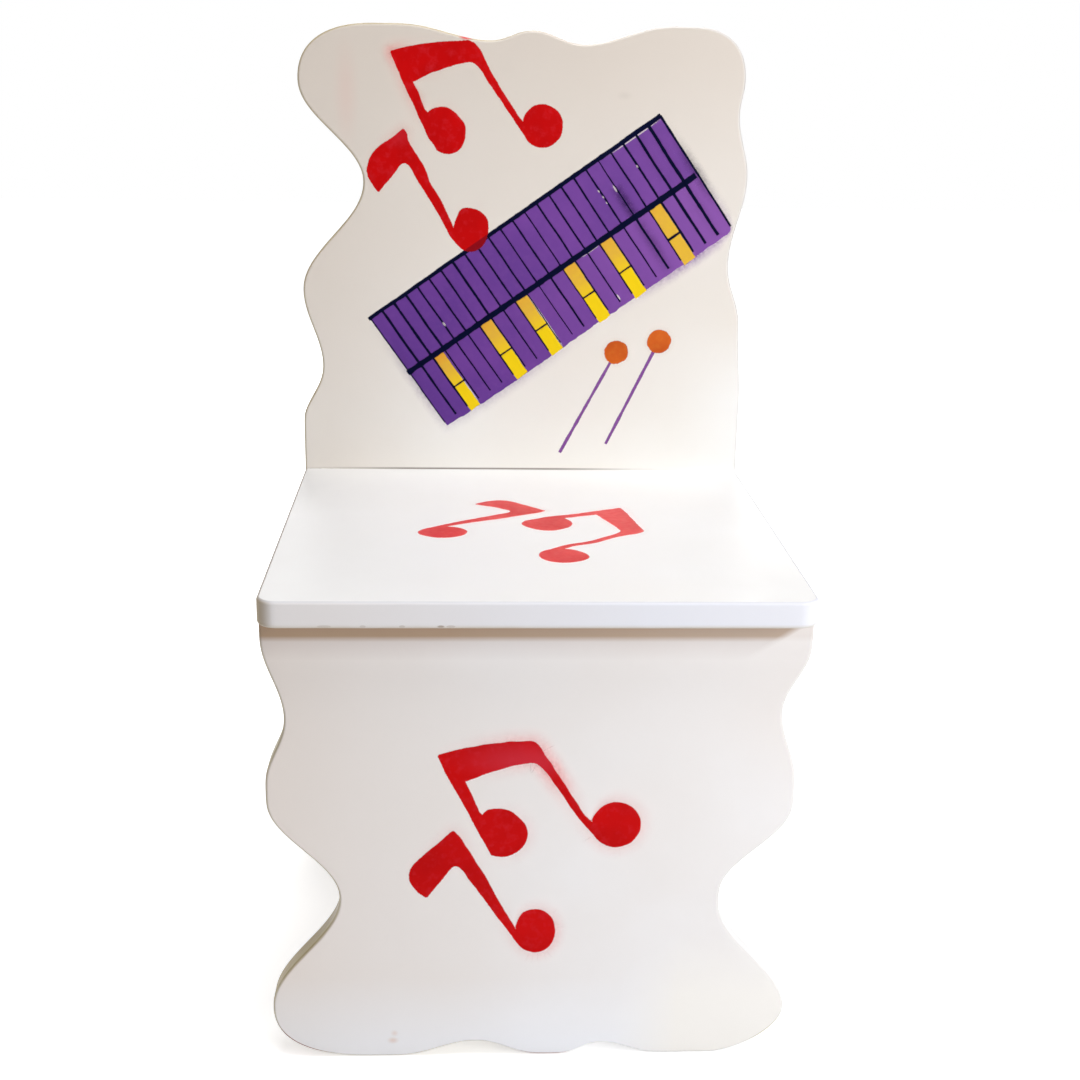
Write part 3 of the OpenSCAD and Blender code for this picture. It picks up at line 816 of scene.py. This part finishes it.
def seat_lacquer():
    """Duller than the upright boards, with painted shade at its ends and back. Its side is painted
    shade, bluer towards the right and khaki at the left corner, its rounded front edge is darkened
    as painted shade, and its lower edge is worn, with a few nicks in it."""
    p = board_paint("seat_lacquer", SEAT_WHITE, SEAT_WARM)
    p.set("Specular IOR Level", 0.2)
    p.set("Coat Weight", 0.0)
    rim = p.attribute("rim")
    across = p.place("X")
    # Painted shade on the seat's side: bluer towards the right, khaki at the left corner
    side = p.blend(p.ramp(across, -0.12, 0.06), SEAT_SIDE_SHADE_LEFT, SEAT_SIDE_SHADE)
    side = p.blend(p.ramp(across, -0.159, -0.15, 0.9, 0.0), side, SEAT_CORNER_SHADE)
    along = p.place("Y")
    # Painted shade at the right, the back and the left of the seat
    shade_right = p.ramp(across, 0.08, 0.14, 0.0, 0.65)
    shade_right = p.faded(shade_right, along, -0.13, -0.02, 1.0, 0.0)
    shade_back = p.ramp(along, 0.02, 0.13, 0.0, 0.4)
    shade_back = p.faded(shade_back, across, 0.0, 0.12, 1.0, 0.0)
    seat_shade = p.math("ADD", shade_right, shade_back)
    seat_shade = p.math("ADD", p.ramp(across, -0.16, -0.05, 0.7, 0.0), seat_shade)
    p.tint(seat_shade, SEAT_SHADE_TINT)
    p.tint(p.ramp(rim, 0.1, 0.4), side)
    # Painted shade: the rounded front edge is darkened, so its highlight stays thin
    worn = p.ramp(rim, 0.1, 0.3, 0.0, 0.55)
    worn = p.faded(worn, rim, 0.6, 0.95, 1.0, 0.0)
    p.tint(worn, SEAT_ROUNDOVER_SHADE)
    patchy = p.noise(35, 3.0)
    over_rim = p.math("SUBTRACT", p.place("Z"), UNDER_SEAT_Z * MM)
    rubbed_and_shaded = p.ramp(over_rim, 0.3 * MM, 2.8 * MM, 0.4, 0.0)
    rubbed_and_shaded = p.faded(rubbed_and_shaded, patchy, 0.3, 0.6, 0.5, 1.0)
    rubbed_and_shaded = p.faded(rubbed_and_shaded, rim, 0.1, 0.4)
    p.tint(rubbed_and_shaded, BARE_AND_SHADED_EDGE)
    for x, half_length, strength in NICKS:
        nick = p.spot((x, SEAT_FRONT_Y, UNDER_SEAT_Z + 1.5), (half_length, 4, 1), 1.6)
        p.tint(p.math("MINIMUM", nick, strength), NICK_BROWN)
    return p.painted()


def film_alpha(p, rough, halo_strength):
    """The film covers where "cover" is high and dusts where "spray" is, both with a grainy edge."""
    grain = p.noise(1500, 3.0)
    jagged = p.product(p.math("SUBTRACT", grain, 0.5), rough)
    covered = p.math("ADD", p.attribute("cover"), jagged)
    covered = p.ramp(covered, 0.25, 0.75)
    dust_and_shadow = p.noise(420, 5.0, 0.65)
    haze = p.math("POWER", p.attribute("spray"), 1.6)
    haze = p.product(haze, halo_strength)
    haze = p.faded(haze, dust_and_shadow, 0.3, 0.7, 0.6, 1.3)
    alpha = p.math("MAXIMUM", covered, haze, clamp=True)
    p.join(alpha, "Alpha")


# Places where the red is thin, given like the stains
FADED_PLACES = [
    ((-6, FRONT_FACE_Y, 200), (50, 60, 17), 0.65, FADED_RED),
    ((-90, BACK_FACE_Y, SEAT_H + 241), (18, 30, 13), 0.3, FADED_RED)
]


def red_paint(name, specular, main, deep):
    p = new_paint(name, 0.45, specular=specular)
    clouds = p.noise(30, 3.0)
    grain = p.noise(260, 4.0)
    p.base = p.blend(p.ramp(clouds, 0.35, 0.65, 0.0, 0.7), main, deep)
    p.add_spots(FADED_PLACES)
    p.tint(p.ramp(grain, 0.5, 0.75, 0.0, 0.25), FADED_RED)
    on_backboard = p.ramp(p.place("Z"), (SEAT_H + 56) * MM, (SEAT_H + 57) * MM)
    over_purple = p.ramp(along_xylophone(p)[1], 0.0, 0.8, 0.0, 0.8)
    p.tint(p.product(on_backboard, over_purple), DARK_RED)
    dusty_and_shaded = p.ramp(p.attribute("cover"), 0.1, 0.5, 1.0, 0.0)
    p.tint(dusty_and_shaded, PINK_DUST)
    p.join(p.ramp(grain, 0.3, 0.7, 0.4, 0.52), "Roughness")
    p.bump(grain, 0.12, 0.0003)
    film_alpha(p, 0.5, 0.6)
    return p.painted()


def sprayed_paint(name, main, deep, pale, rough, halo, specular=0.2, mottling=0.4):
    """One of the xylophone's or the mallets' colours, uneven as paint from a can is."""
    p = new_paint(name, 0.45, specular=specular)
    clouds = p.noise(24, 3.0)
    grain = p.noise(300, 4.0)
    p.base = p.blend(p.ramp(clouds, 0.35, 0.65, 0.0, 0.8), main, deep)
    p.tint(p.ramp(grain, 0.48, 0.75, 0.0, mottling), pale)
    p.join(p.ramp(grain, 0.3, 0.7, 0.36, 0.5), "Roughness")
    p.bump(grain, 0.12, 0.0003)
    film_alpha(p, rough, halo)
    return p


def along_xylophone(p):
    """Millimetres along the xylophone and down it, as two sockets."""
    place = (XYLO_AT[0] * MM, BACK_FACE_Y * MM, (SEAT_H + XYLO_AT[1]) * MM)
    local = p.stretched((1 / MM, 1 / MM, -1 / MM), place, (0, -XYLO_TILT, 0))
    apart = p.make("SeparateXYZ", Vector=local)
    return apart.outputs["X"], apart.outputs["Z"]


LEFT_IN_CHIP = 0.25  # how much of the paint is left in the middle of a chip
LOWER_KEYS = 41     # added to a bar's number below the middle, to give it another shade


def chip_away(p, chips):
    """Takes small ovals out of a film. Each is (along, down, half its length along, half down)."""
    along, down = along_xylophone(p)
    place = p.make("CombineXYZ", X=along, Y=down).outputs[0]
    rough = p.product(p.noise(900, 2.0), 0.5)
    alpha = p.shader.inputs["Alpha"].links[0].from_socket
    for x, y, half_along, half_down in chips:
        apart = p.vector("SUBTRACT", place, (x, y, 0)).outputs[0]
        shrunk = p.vector("DIVIDE", apart, (half_along, half_down, 1)).outputs[0]
        reach = p.math("ADD", p.length(shrunk), rough)
        alpha = p.faded(alpha, reach, 0.9, 1.45, LEFT_IN_CHIP, 1.0)
    p.join(alpha, "Alpha")


def purple_paint():
    """Purple that grows paler along the xylophone, most so in the lower bars. Each bar has a
    shade of its own."""
    p = sprayed_paint(
        "purple_paint", PURPLE, DEEP_PURPLE, PALE_PURPLE, 0.5, 0.5, specular=0.1, mottling=0.14
    )
    along, down = along_xylophone(p)
    lower = p.math("GREATER_THAN", down, MIDDLE)
    share = p.ramp(lower, 0.0, 1.0, 0.4, 0.95)
    paler = p.product(p.ramp(along, 60, 235), share)
    p.tint(paler, PALE_PURPLE)
    p.tint(p.ramp(along, 0, 70, 0.5, 0.0), DEEP_PURPLE)
    bar = p.math("FLOOR", p.math("DIVIDE", along, BAR_PITCH))
    key = p.math("ADD", bar, p.product(lower, LOWER_KEYS))
    own = p.make("TexWhiteNoise", {"noise_dimensions": "1D"}, W=key).outputs["Value"]
    p.tint(p.ramp(own, 0.0, 1.0, 0.0, 0.22), DEEP_PURPLE)
    chip_away(p, CHIPS + SLIVERS)
    return p.painted()


def yellow_paint():
    """Gold above the divider and bright below it. The last bar stays gold, and the first has an
    orange cast at its top."""
    p = sprayed_paint(
        "yellow_paint", GOLD, GOLD, BRIGHT_YELLOW, 0.4, 0.3, specular=0.12, mottling=0.2
    )
    along, down = along_xylophone(p)
    cast = p.ramp(down, YELLOW_TOP, YELLOW_TOP + 9, 1.0, 0.0)
    cast = p.faded(cast, along, 30, 75, 0.7, 0.25)
    p.tint(cast, WARM_ORANGE)
    bright = p.ramp(down, DIVIDER - 14, DIVIDER + 3, 0.0, 0.95)
    bright = p.faded(bright, along, 196, 200, 1.0, 0.1)
    p.tint(bright, BRIGHT_YELLOW)
    return p.painted()


def navy_paint():
    p = sprayed_paint(
        "navy_paint", NAVY, NAVY, DUSTY_NAVY, 0.4, 0.6, specular=0.04, mottling=0.2
    )
    chip_away(p, CHIPS)
    return p.painted()


def wood(name, pale, dark, grain_scale, end_scale):
    """Bare planed wood with its grain along the piece."""
    p = new_paint(name, 0.6, specular=0.35)
    warp = p.noise(end_scale, 2.0)
    rings = p.make(
        "TexWave", {"wave_type": "RINGS", "rings_direction": "SPHERICAL"},
        Vector=p.stretched(grain_scale), Scale=1.0, Distortion=3.5, Detail=3.0, Detail_Scale=1.2
    ).outputs["Fac"]
    fibre = p.noise([12 * s for s in grain_scale], 4.0, 0.6)
    share = p.faded(rings, warp, 0.3, 0.7, 0.3, 1.0)
    p.base = p.blend(p.ramp(share, 0.1, 0.9, 0.0, 0.75), pale, dark)
    p.tint(p.ramp(fibre, 0.5, 0.75, 0.0, 0.35), dark)
    p.join(p.ramp(fibre, 0.3, 0.7, 0.5, 0.7), "Roughness")
    p.bump(fibre, 0.25, 0.0005)
    return p.painted()


def zinc(name, pale, dark, scale):
    """Zinc plate with fine brush marks and cloudy tarnish."""
    p = new_paint(name, 0.34, metallic=1.0)
    brushed = p.noise(scale, 3.0)
    tarnish = p.noise(160, 4.0)
    p.base = p.blend(p.ramp(tarnish, 0.4, 0.7, 0.0, 0.7), pale, dark)
    p.join(p.ramp(brushed, 0.3, 0.7, 0.26, 0.46), "Roughness")
    p.bump(brushed, 0.15, 0.0002)
    return p.painted()


# The painted xylophone, in its own millimetres: along its top edge, and down from it
XYLO_AT = (-0.3494 * BOARD_W, 0.3576 * BACK_H)
XYLO_TILT = radians(35.2)
XYLO_L = 250
XYLO_W = 99
XYLO_BARS = 24
BAR_PITCH = XYLO_L / XYLO_BARS
YELLOW_BARS = (2, 6, 9, 13, 16, 20)
TOP_LINE = 1.7
MIDDLE = 49.9
YELLOW_TOP = 51.4
DIVIDER = 77.2
LOWER_END = 94.4
SAG = 1.2           # how far the lines in the middle lie left of their even places
THIN_LINE = 19      # the line that starts as a thin one
THIN_END = 26       # how far down its thin start runs

# Heights of the films that lie over or under each other, over the board
BARS_HEIGHT = 0.06
YELLOW_HEIGHT = 0.09
STICKS_HEIGHT = 0.1
LINES_HEIGHT = 0.12
HEADS_HEIGHT = 0.14

# Strength of the overspray of the lines that have some
UPPER_DUST = {19: 0.85, 22: 0.3, 23: 0.3}
LOWER_DUST = {19: 0.6, 23: 0.35}
DUST_HALO = 6
DUST_REACH = 28

# Widths of the lines that stand out, and of the others
UPPER_WIDTHS = {1: 1.6, 2: 1.7, 3: 1.5, 7: 1.5, 11: 0.9, 13: 0.8, 21: 1.4, 22: 1.7, 23: 2.2}
UPPER_WIDTH = 1.15
LOWER_WIDTHS = {
    1: 1.5, 2: 1.3, 10: 0.3, 11: 0.5, 12: 1.4, 13: 0.7, 19: 1.7, 21: 1.5, 22: 2, 23: 2.3
}
LOWER_WIDTH = 0.95

# Small faults, as (along, down, half the length along, half the length down)
CHIPS = [
    (41.3, 35.4, 0.9, 2), (185.8, 20.4, 0.6, 1.3), (186.2, 25.6, 0.6, 1.3), (185.9, 30.4, 0.5, 1),
    (196.3, 25.4, 0.8, 3), (217.8, 21.4, 0.8, 1.3), (156.2, 91, 0.6, 2.6)
]
SLIVERS = [(29.1, 86, 0.6, 13), (103, 75, 0.9, 24), (228, 3.8, 22, 0.6), (157.5, 52.2, 8, 0.4)]


def on_xylophone(along, down):
    c = cos(XYLO_TILT)
    s = sin(XYLO_TILT)
    return (XYLO_AT[0] + along * c + down * s, XYLO_AT[1] + along * s - down * c)


LINE_STEP = 2.5


def xylophone_ribbon(start, end, width, end_width, seed):
    """A hand-drawn line from start to end, each (along, down), that wavers a little."""
    length = dist(start, end)
    n = max(3, ceil(length / LINE_STEP))
    points = []
    widths = []
    for i in range(n + 1):
        t = i / n
        sway = 0.35 * waver(t * length * 0.05, seed, 0)
        swell = 1 + 0.28 * waver(t * length * 0.22, seed, 5)
        across = Vector((end[1] - start[1], start[0] - end[0])).normalized() * sway
        along = start[0] + (end[0] - start[0]) * t + across.x
        down = start[1] + (end[1] - start[1]) * t + across.y
        points.append(on_xylophone(along, down))
        widths.append((width + (end_width - width) * t) * swell)
    return ribbon(points, widths)


# The boards
back_edge = softened(back_outline(), True)
front_edge = softened(leg_outline(), False)
board(
    "painted_backboard", back_edge, upright_at(BACK_FACE_Y),
    back_lacquer(), "backboard",
    [(x, SCREW_Z) for x in SCREW_XS], closed=True
)
board("painted_front_board", front_edge, upright_at(FRONT_FACE_Y), front_lacquer(), "front_board")
board(
    "painted_seat", seat_outline(), lying_at(SEAT_FRONT_Y, UNDER_SEAT_Z),
    seat_lacquer(), "seat_board"
)
PAINT_INSET = EDGE_R - 0.4  # how far inside a board's edge the paint ends
back_flat = [(x, z - SEAT_H) for x, z in moved_in(back_edge, True, PAINT_INSET)]
front_flat = moved_in(front_edge, False, PAINT_INSET)


# The red notes
upright_red = red_paint("upright_red", 0.06, RED, DEEP_RED)
# The seat's red is painted lighter and pinker than the upright red, as painted light from above
lit_seat_red = red_paint("lit_seat_red", 0.5, SEAT_LIT_RED, RED)


def on_back(p):
    return (p[0], p[2] - SEAT_H)


def on_front(p):
    return (p[0], p[2])


def on_seat(p):
    return (p[0], p[1] - SEAT_FRONT_Y)


FORWARDS = Vector((0, -1, 0))
UPWARDS = Vector((0, 0, 1))
STENCIL_WOBBLE = 0.35

# The painted faces: a point of the chair on each, its direction, its plane, how far its paint
# may run, and its red
ON_BACK = (on_back, FORWARDS, back_plane, back_flat, upright_red)
ON_FRONT = (on_front, FORWARDS, front_plane, front_flat, upright_red)
ON_SEAT = (on_seat, UPWARDS, seat_plane, None, lit_seat_red)


def note(node, face, height, seed, halo, sprays, moves):
    """A stencilled figure over the outline of its CAD film. Each spray is a place, a radius and
    a strength."""
    flat, facing, plane, limit, red = face
    bm = film_mesh()
    loops = []
    for loop in cad_loops(node, flat, facing):
        loops.append(wobbled(nudged(resampled(loop, FILM_STEP), moves), STENCIL_WOBBLE, seed))
    add_film(bm, loops, plane, height, halo, sprays, limit)
    new_film("painted_" + node, bm, red, "red_paint", node)


note(
    "back_beamed_notes", ON_BACK, FILM, 1.0, 8,
    [(-95, 296, 12, 0.55), (-84, 270, 20, 0.3), (-60, 262, 40, 0.12)],
    [
        (-65, 230, 7, 1.9, 1), (-56, 229, 12, 0, -1.2), (-77, 279, 8, -0.6, -2.6),
        (-38, 303, 6, -1.8, 1), (-62, 284, 10, 0, -1.2), (-48, 255, 8, -1, -1),
        (-46, 232, 8, 1.2, -1.2), (-70, 264, 4, -1, 0), (-8, 250, 22, 1.4, 0.5),
        (14, 248, 10, 0.6, 0.6)
    ]
)
note(
    "back_single_note", ON_BACK, FILM + 0.06, 2.0, 7,
    [(-88, 240, 14, 0.35), (-110, 215, 20, 0.12)],
    [
        (-75, 228, 8, -1.4, -1), (-80, 236, 6, -2.6, 0), (-66, 214, 9, -1.2, -0.6),
        (-103, 231, 9, -0.9, 1.4), (-112, 217, 7, 1.6, 0), (-109, 208, 6, 1.3, 0.6),
        (-96, 211, 7, 0.7, -0.8), (-60, 208, 7, -2, -0.3), (-45, 188, 6, -1, 2),
        (-29, 183, 7, 1, 0.6), (-54, 170, 10, -1.1, -1.1)
    ]
)
note(
    "front_beamed_notes", ON_FRONT, FILM, 3.0, 9,
    [(-15, 212, 26, 0.45), (18, 196, 20, 0.7), (48, 158, 22, 0.55), (-10, 150, 20, 0.3)],
    [
        (-28, 162, 14, -0.8, 0.8), (-52, 188, 12, -0.8, 0), (6, 206, 8, -0.8, -0.6),
        (-10, 163, 6, -0.8, -0.8), (-29, 168, 5, 0, 1), (24, 167, 14, -0.5, -0.5)
    ]
)
note(
    "front_single_note", ON_FRONT, FILM, 4.0, 8,
    [(-48, 150, 25, 0.25), (5, 85, 24, 0.5)],
    [(-58, 119, 9, 0.6, -0.7), (-8, 99, 7, -0.6, 0.8), (-12, 80, 9, -0.6, -0.7)]
)
note(
    "seat_beamed_notes", ON_SEAT, FILM, 5.0, 7, [(60, 190, 60, 0.3)],
    [
        (11.6, 175, 11, 0, 3), (10, 144, 10, 0, -2), (-4, 157, 9, -2, 0), (33, 88, 9, 1.8, 0),
        (72, 141, 8, 1.5, 0), (19, 92, 18, -0.3, -6.5), (40, 120, 14, 0, -4.5),
        (11, 164, 12, -0.4, -2), (60, 170, 16, -1.8, 0)
    ]
)
note(
    "seat_single_note", ON_SEAT, FILM, 6.0, 7, [(0, 180, 60, 0.3)],
    [(-57, 153, 11, 0, 0.5), (-57, 138, 13, 0, -4), (-72, 137, 9, -2, 0), (-32, 205, 9, -3, 0)]
)


# The xylophone

FIELD_CORNER_R = 5
FIELD_CORNER_STEPS = 8
FIELD_HALO = 8


def field_loop():
    """The purple field's edge, whose foot bulges a little and whose lower right corner is round."""
    foot = XYLO_W - 1.1
    loop = [
        (0, TOP_LINE), (0, foot - 0.2), (28, foot + 0.9), (50, XYLO_W), (84, foot + 0.8),
        (130, foot)
    ]
    corner = (XYLO_L - FIELD_CORNER_R, foot - FIELD_CORNER_R)
    for i in range(FIELD_CORNER_STEPS + 1):
        a = radians(90 * (1 - i / FIELD_CORNER_STEPS))
        along = corner[0] + FIELD_CORNER_R * cos(a)
        loop.append((along, corner[1] + FIELD_CORNER_R * sin(a)))
    loop.append((XYLO_L, TOP_LINE))
    return [on_xylophone(along, down) for along, down in loop]


bm = film_mesh()
field_sprays = [(60, XYLO_W, 60, 0.6), (0, 60, 40, 0.5), (215, XYLO_W, 50, 1.1)]
add_film(
    bm, [wobbled(resampled(field_loop(), BAR_STEP), 0.7, 7.0)], back_plane, BARS_HEIGHT, FIELD_HALO,
    [(*on_xylophone(along, down), radius, s) for along, down, radius, s in field_sprays], back_flat
)
new_film("painted_xylophone_bars", bm, purple_paint(), "purple_paint", "xylophone_bars")


def line_place(i):
    """Where line i crosses the xylophone, in millimetres along it."""
    return i * BAR_PITCH - SAG * sin(pi * i / XYLO_BARS)


bm = film_mesh()
for i in YELLOW_BARS:
    sway = 0.3 * waver(i * 1.7, 0, 0)
    left = line_place(i) + 0.3 + sway
    right = line_place(i + 1) - (2 if i == YELLOW_BARS[0] else 0.7) + sway
    foot = XYLO_W - 0.2
    corners = [(left, YELLOW_TOP), (left, foot), (right, foot - 0.4 + sway), (right, YELLOW_TOP)]
    loop = [on_xylophone(along, down) for along, down in corners]
    add_film(bm, [wobbled(resampled(loop, BAR_STEP), 0.5, i)], back_plane, YELLOW_HEIGHT)
new_film("painted_yellow_bars", bm, yellow_paint(), "yellow_paint", "xylophone_yellow_bars")

# Each stroke is where it starts and ends, its width there, and how strong its overspray is
strokes = [
    ((-1.2, TOP_LINE), (XYLO_L + 0.6, TOP_LINE), 2.4, 3.1, 0),
    ((-1, MIDDLE - 0.4), (XYLO_L - 1.3, MIDDLE + 0.4), 3.7, 4.1, 0),
    ((XYLO_L + 0.4, TOP_LINE), (XYLO_L + 0.4, LOWER_END), 1.6, 1.3, 0.75),
    ((0.2, TOP_LINE), (0.2, XYLO_W - 4), 0.7, 0.6, 0.25)
]
for i in range(1, XYLO_BARS):
    x = line_place(i)
    top = THIN_END if i == THIN_LINE else TOP_LINE
    width = UPPER_WIDTHS.get(i, UPPER_WIDTH)
    strokes.append(((x, top), (x, MIDDLE), width, width, UPPER_DUST.get(i, 0)))
    width = LOWER_WIDTHS.get(i, LOWER_WIDTH)
    strokes.append(((x, MIDDLE), (x, LOWER_END), width, width * 0.85, LOWER_DUST.get(i, 0)))
for i in YELLOW_BARS:
    width = 1.6 if i == YELLOW_BARS[-1] else 1.0
    strokes.append(((line_place(i), DIVIDER), (line_place(i + 1), DIVIDER), width, width, 0))
x = line_place(THIN_LINE)
strokes.append(((x, TOP_LINE), (x, THIN_END), 0.6, 0.9, 0))

bm = film_mesh()
for seed, (start, end, width, end_width, dust_and_shadow) in enumerate(strokes):
    loop = xylophone_ribbon(start, end, width, end_width, seed * 3.1)
    middle = on_xylophone((start[0] + end[0]) / 2, (start[1] + end[1]) / 2)
    sprays = [(*middle, DUST_REACH, dust_and_shadow)] if dust_and_shadow else []
    halo = DUST_HALO if dust_and_shadow else 0
    add_film(bm, [loop], back_plane, LINES_HEIGHT, halo, sprays, back_flat)
new_film("painted_xylophone_lines", bm, navy_paint(), "navy_paint", "xylophone_lines")

# Mallets: the middle of each head, the slope of its stick
MALLETS = [(0.211 * BOARD_W, 0.28 * BACK_H, 62.2), (0.308 * BOARD_W, 0.306 * BACK_H, 64.4)]
MALLET_R = 8.3
MALLET_WIDER = 1.05  # the heads are a little wider than high
MALLET_L = 85
HEAD_STEPS = 40
STICK_STEPS = 32
STICK_W = 1.75
STICK_START = MALLET_R - 2  # the stick starts a little inside the head

bm = film_mesh()
for x, z, _ in MALLETS:
    circle = circle_points(HEAD_STEPS)
    loop = [(x + MALLET_WIDER * MALLET_R * c, z + MALLET_R * s) for c, s in circle]
    add_film(bm, [wobbled(loop, 0.8, x)], back_plane, HEADS_HEIGHT, 4, [(x, z, 20, 0.3)], back_flat)
orange = sprayed_paint("orange_paint", ORANGE, DEEP_ORANGE, WARM_ORANGE, 0.4, 0.5, mottling=0.15)
new_film("painted_mallet_heads", bm, orange.painted(), "orange_paint", "mallet_heads")

bm = film_mesh()
for x, z, slope in MALLETS:
    c = cos(radians(slope))
    s = sin(radians(slope))
    points = []
    widths = []
    for i in range(STICK_STEPS + 1):
        along = STICK_START + (MALLET_L - STICK_START) * i / STICK_STEPS
        points.append((x - along * c, z - along * s))
        widths.append(STICK_W + 0.7 * waver(along * 0.12, x, 0))
    add_film(bm, [ribbon(points, widths)], back_plane, STICKS_HEIGHT)
lilac = sprayed_paint("lilac_paint", LILAC, LILAC, PALE_LILAC, 0.5, 0.5)
new_film("painted_mallet_sticks", bm, lilac.painted(), "lilac_paint", "mallet_sticks")


# The frame under the seat and the fixings keep their CAD nodes
PINE = (colour(226, 192, 142), colour(190, 142, 88))
pine_lengthwise = wood("pine_lengthwise", *PINE, (90, 7, 90), (30, 4, 30))
pine_crosswise = wood("pine_crosswise", *PINE, (7, 90, 90), (4, 30, 30))
beech = wood("beech", colour(214, 176, 134), colour(182, 136, 96), (160, 14, 160), (40, 6, 40))
plate = zinc("zinc_plate", colour(206, 208, 210), colour(158, 160, 164), (1200, 60, 1200))
screw = zinc("zinc_screw", colour(214, 208, 186), colour(166, 156, 128), (900, 900, 900))


def finish_node(name, material, bevel):
    """Gives a CAD node its material and softens its edges."""
    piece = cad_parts[name]
    piece.data.materials.clear()
    piece.data.materials.append(material)
    if bevel:
        rounding = piece.modifiers.new("softened_edges", "BEVEL")
        rounding.width = bevel * MM
        rounding.segments = 3
        rounding.limit_method = "ANGLE"
        rounding.angle_limit = radians(40)
        rounding.use_clamp_overlap = True
        rounding.harden_normals = True


BRACKETS = ["left_front_bracket", "right_front_bracket", "left_rear_bracket", "right_rear_bracket"]
SCREWS = ["bracket_screws", "backboard_screws", "front_batten_screws", "seat_screws"]

# Each kind's nodes, material and how far their edges are rounded
for names, material, bevel in (
    (["left_side_rail", "right_side_rail", "lower_stretcher"], pine_lengthwise, 0.8),
    (["front_batten", "rear_batten"], pine_crosswise, 0.8),
    (["front_rail_dowels", "rear_rail_dowels", "stretcher_dowels"], beech, 0),
    (BRACKETS, plate, 0.2),
    (SCREWS, screw, 0)
):
    for name in names:
        finish_node(name, material, bevel)


# Floor, light and camera

FLOOR_SIZE = 6
NEAR_LIFT = 0.6     # how much of white the floor gives of itself beside the chair


def stage_floor():
    """A pale floor that reads as white to the camera, wholly so away from the chair, and keeps
    the chair's shadow."""
    bm = bmesh.new()
    bmesh.ops.create_grid(bm, x_segments=1, y_segments=1, size=FLOOR_SIZE)
    mesh = bpy.data.meshes.new("floor")
    bm.to_mesh(mesh)
    bm.free()
    floor = linked_object("floor", mesh)
    p = new_paint("floor", 0.9, specular=0.1)
    p.set("Base Color", colour(232, 232, 232))
    path = p.make("LightPath").outputs
    seen = p.math("MAXIMUM", path["Is Glossy Ray"], path["Is Transmission Ray"])
    seen = p.math("MAXIMUM", path["Is Camera Ray"], seen)
    p.set("Emission Color", (1, 1, 1, 1))
    place = p.make("TexCoord").outputs["Object"]
    lift = p.ramp(p.length(place), 0.35, 1.3, NEAR_LIFT, 1.0)
    p.join(p.product(seen, lift), "Emission Strength")
    mesh.materials.append(p.owner)


def area_lamp(name, place, target, size, power, tint):
    lamp = bpy.data.lights.new(name, "AREA")
    lamp.shape = "DISK"
    lamp.size = size
    lamp.energy = power
    lamp.color = tint
    obj = linked_object(name, lamp)
    obj.location = place
    obj.rotation_euler = (Vector(target) - Vector(place)).to_track_quat("-Z", "Y").to_euler()


def light_world(strength):
    """A soft grey-white room that the camera sees as white."""
    bpy.context.scene.world = bpy.data.worlds.new("room")
    p = Nodes(bpy.context.scene.world, "Background")
    path = p.make("LightPath").outputs
    seen = p.math("MAXIMUM", path["Is Camera Ray"], path["Is Transmission Ray"])
    p.set("Color", (1, 1, 1, 1))
    p.join(p.ramp(seen, 0.0, 1.0, strength, 1.0), "Strength")


WHITE = (1, 1, 1)
ROOM_STRENGTH = 0.14

# The lamps' places, what they point at, their sizes in metres, watts and tints
LAMPS = {
    "key": ((0.8, -0.85, 0.6), (0, 0, 0.35), 0.6, 7.8, WHITE),
    "overhead": ((0.1, -0.35, 2.2), (0, 0, 0.3), 1.2, 27, WHITE),
    "rear": ((0.1, 2.2, 1.5), (0, 0.1, 0.3), 1.2, 24, WHITE),
    "left": ((-1.7, 0.3, 0.9), (0, 0, 0.3), 1.0, 3, (1, 0.92, 0.86))
}
stage_floor()
light_world(ROOM_STRENGTH)
for name, settings in LAMPS.items():
    area_lamp(name, *settings)

CAMERA_PLACE = Vector((-44.05, -1009.6, 594.5)) * MM
CAMERA_YAW = 0.05066
CAMERA_PITCH = 0.29026
CAMERA_ROLL = -0.01768
FOCAL_PIXELS = 1600
PHOTO_PIXELS = 1080
SENSOR = 36


def add_camera():
    """The photograph's camera: turned to the right by yaw, down by pitch, then rolled."""
    forward = Vector((
        sin(CAMERA_YAW) * cos(CAMERA_PITCH),
        cos(CAMERA_YAW) * cos(CAMERA_PITCH),
        -sin(CAMERA_PITCH)
    ))
    level = Vector((cos(CAMERA_YAW), -sin(CAMERA_YAW), 0))
    down = forward.cross(level)
    right = cos(CAMERA_ROLL) * level + sin(CAMERA_ROLL) * down
    low = cos(CAMERA_ROLL) * down - sin(CAMERA_ROLL) * level
    data = bpy.data.cameras.new("camera")
    data.sensor_width = SENSOR
    data.lens = SENSOR * FOCAL_PIXELS / PHOTO_PIXELS
    camera = linked_object("camera", data)
    turned = Matrix((right, -low, -forward)).transposed().to_4x4()
    camera.matrix_world = Matrix.Translation(CAMERA_PLACE) @ turned
    bpy.context.scene.camera = camera


add_camera()
bpy.context.scene.view_settings.view_transform = "Standard"
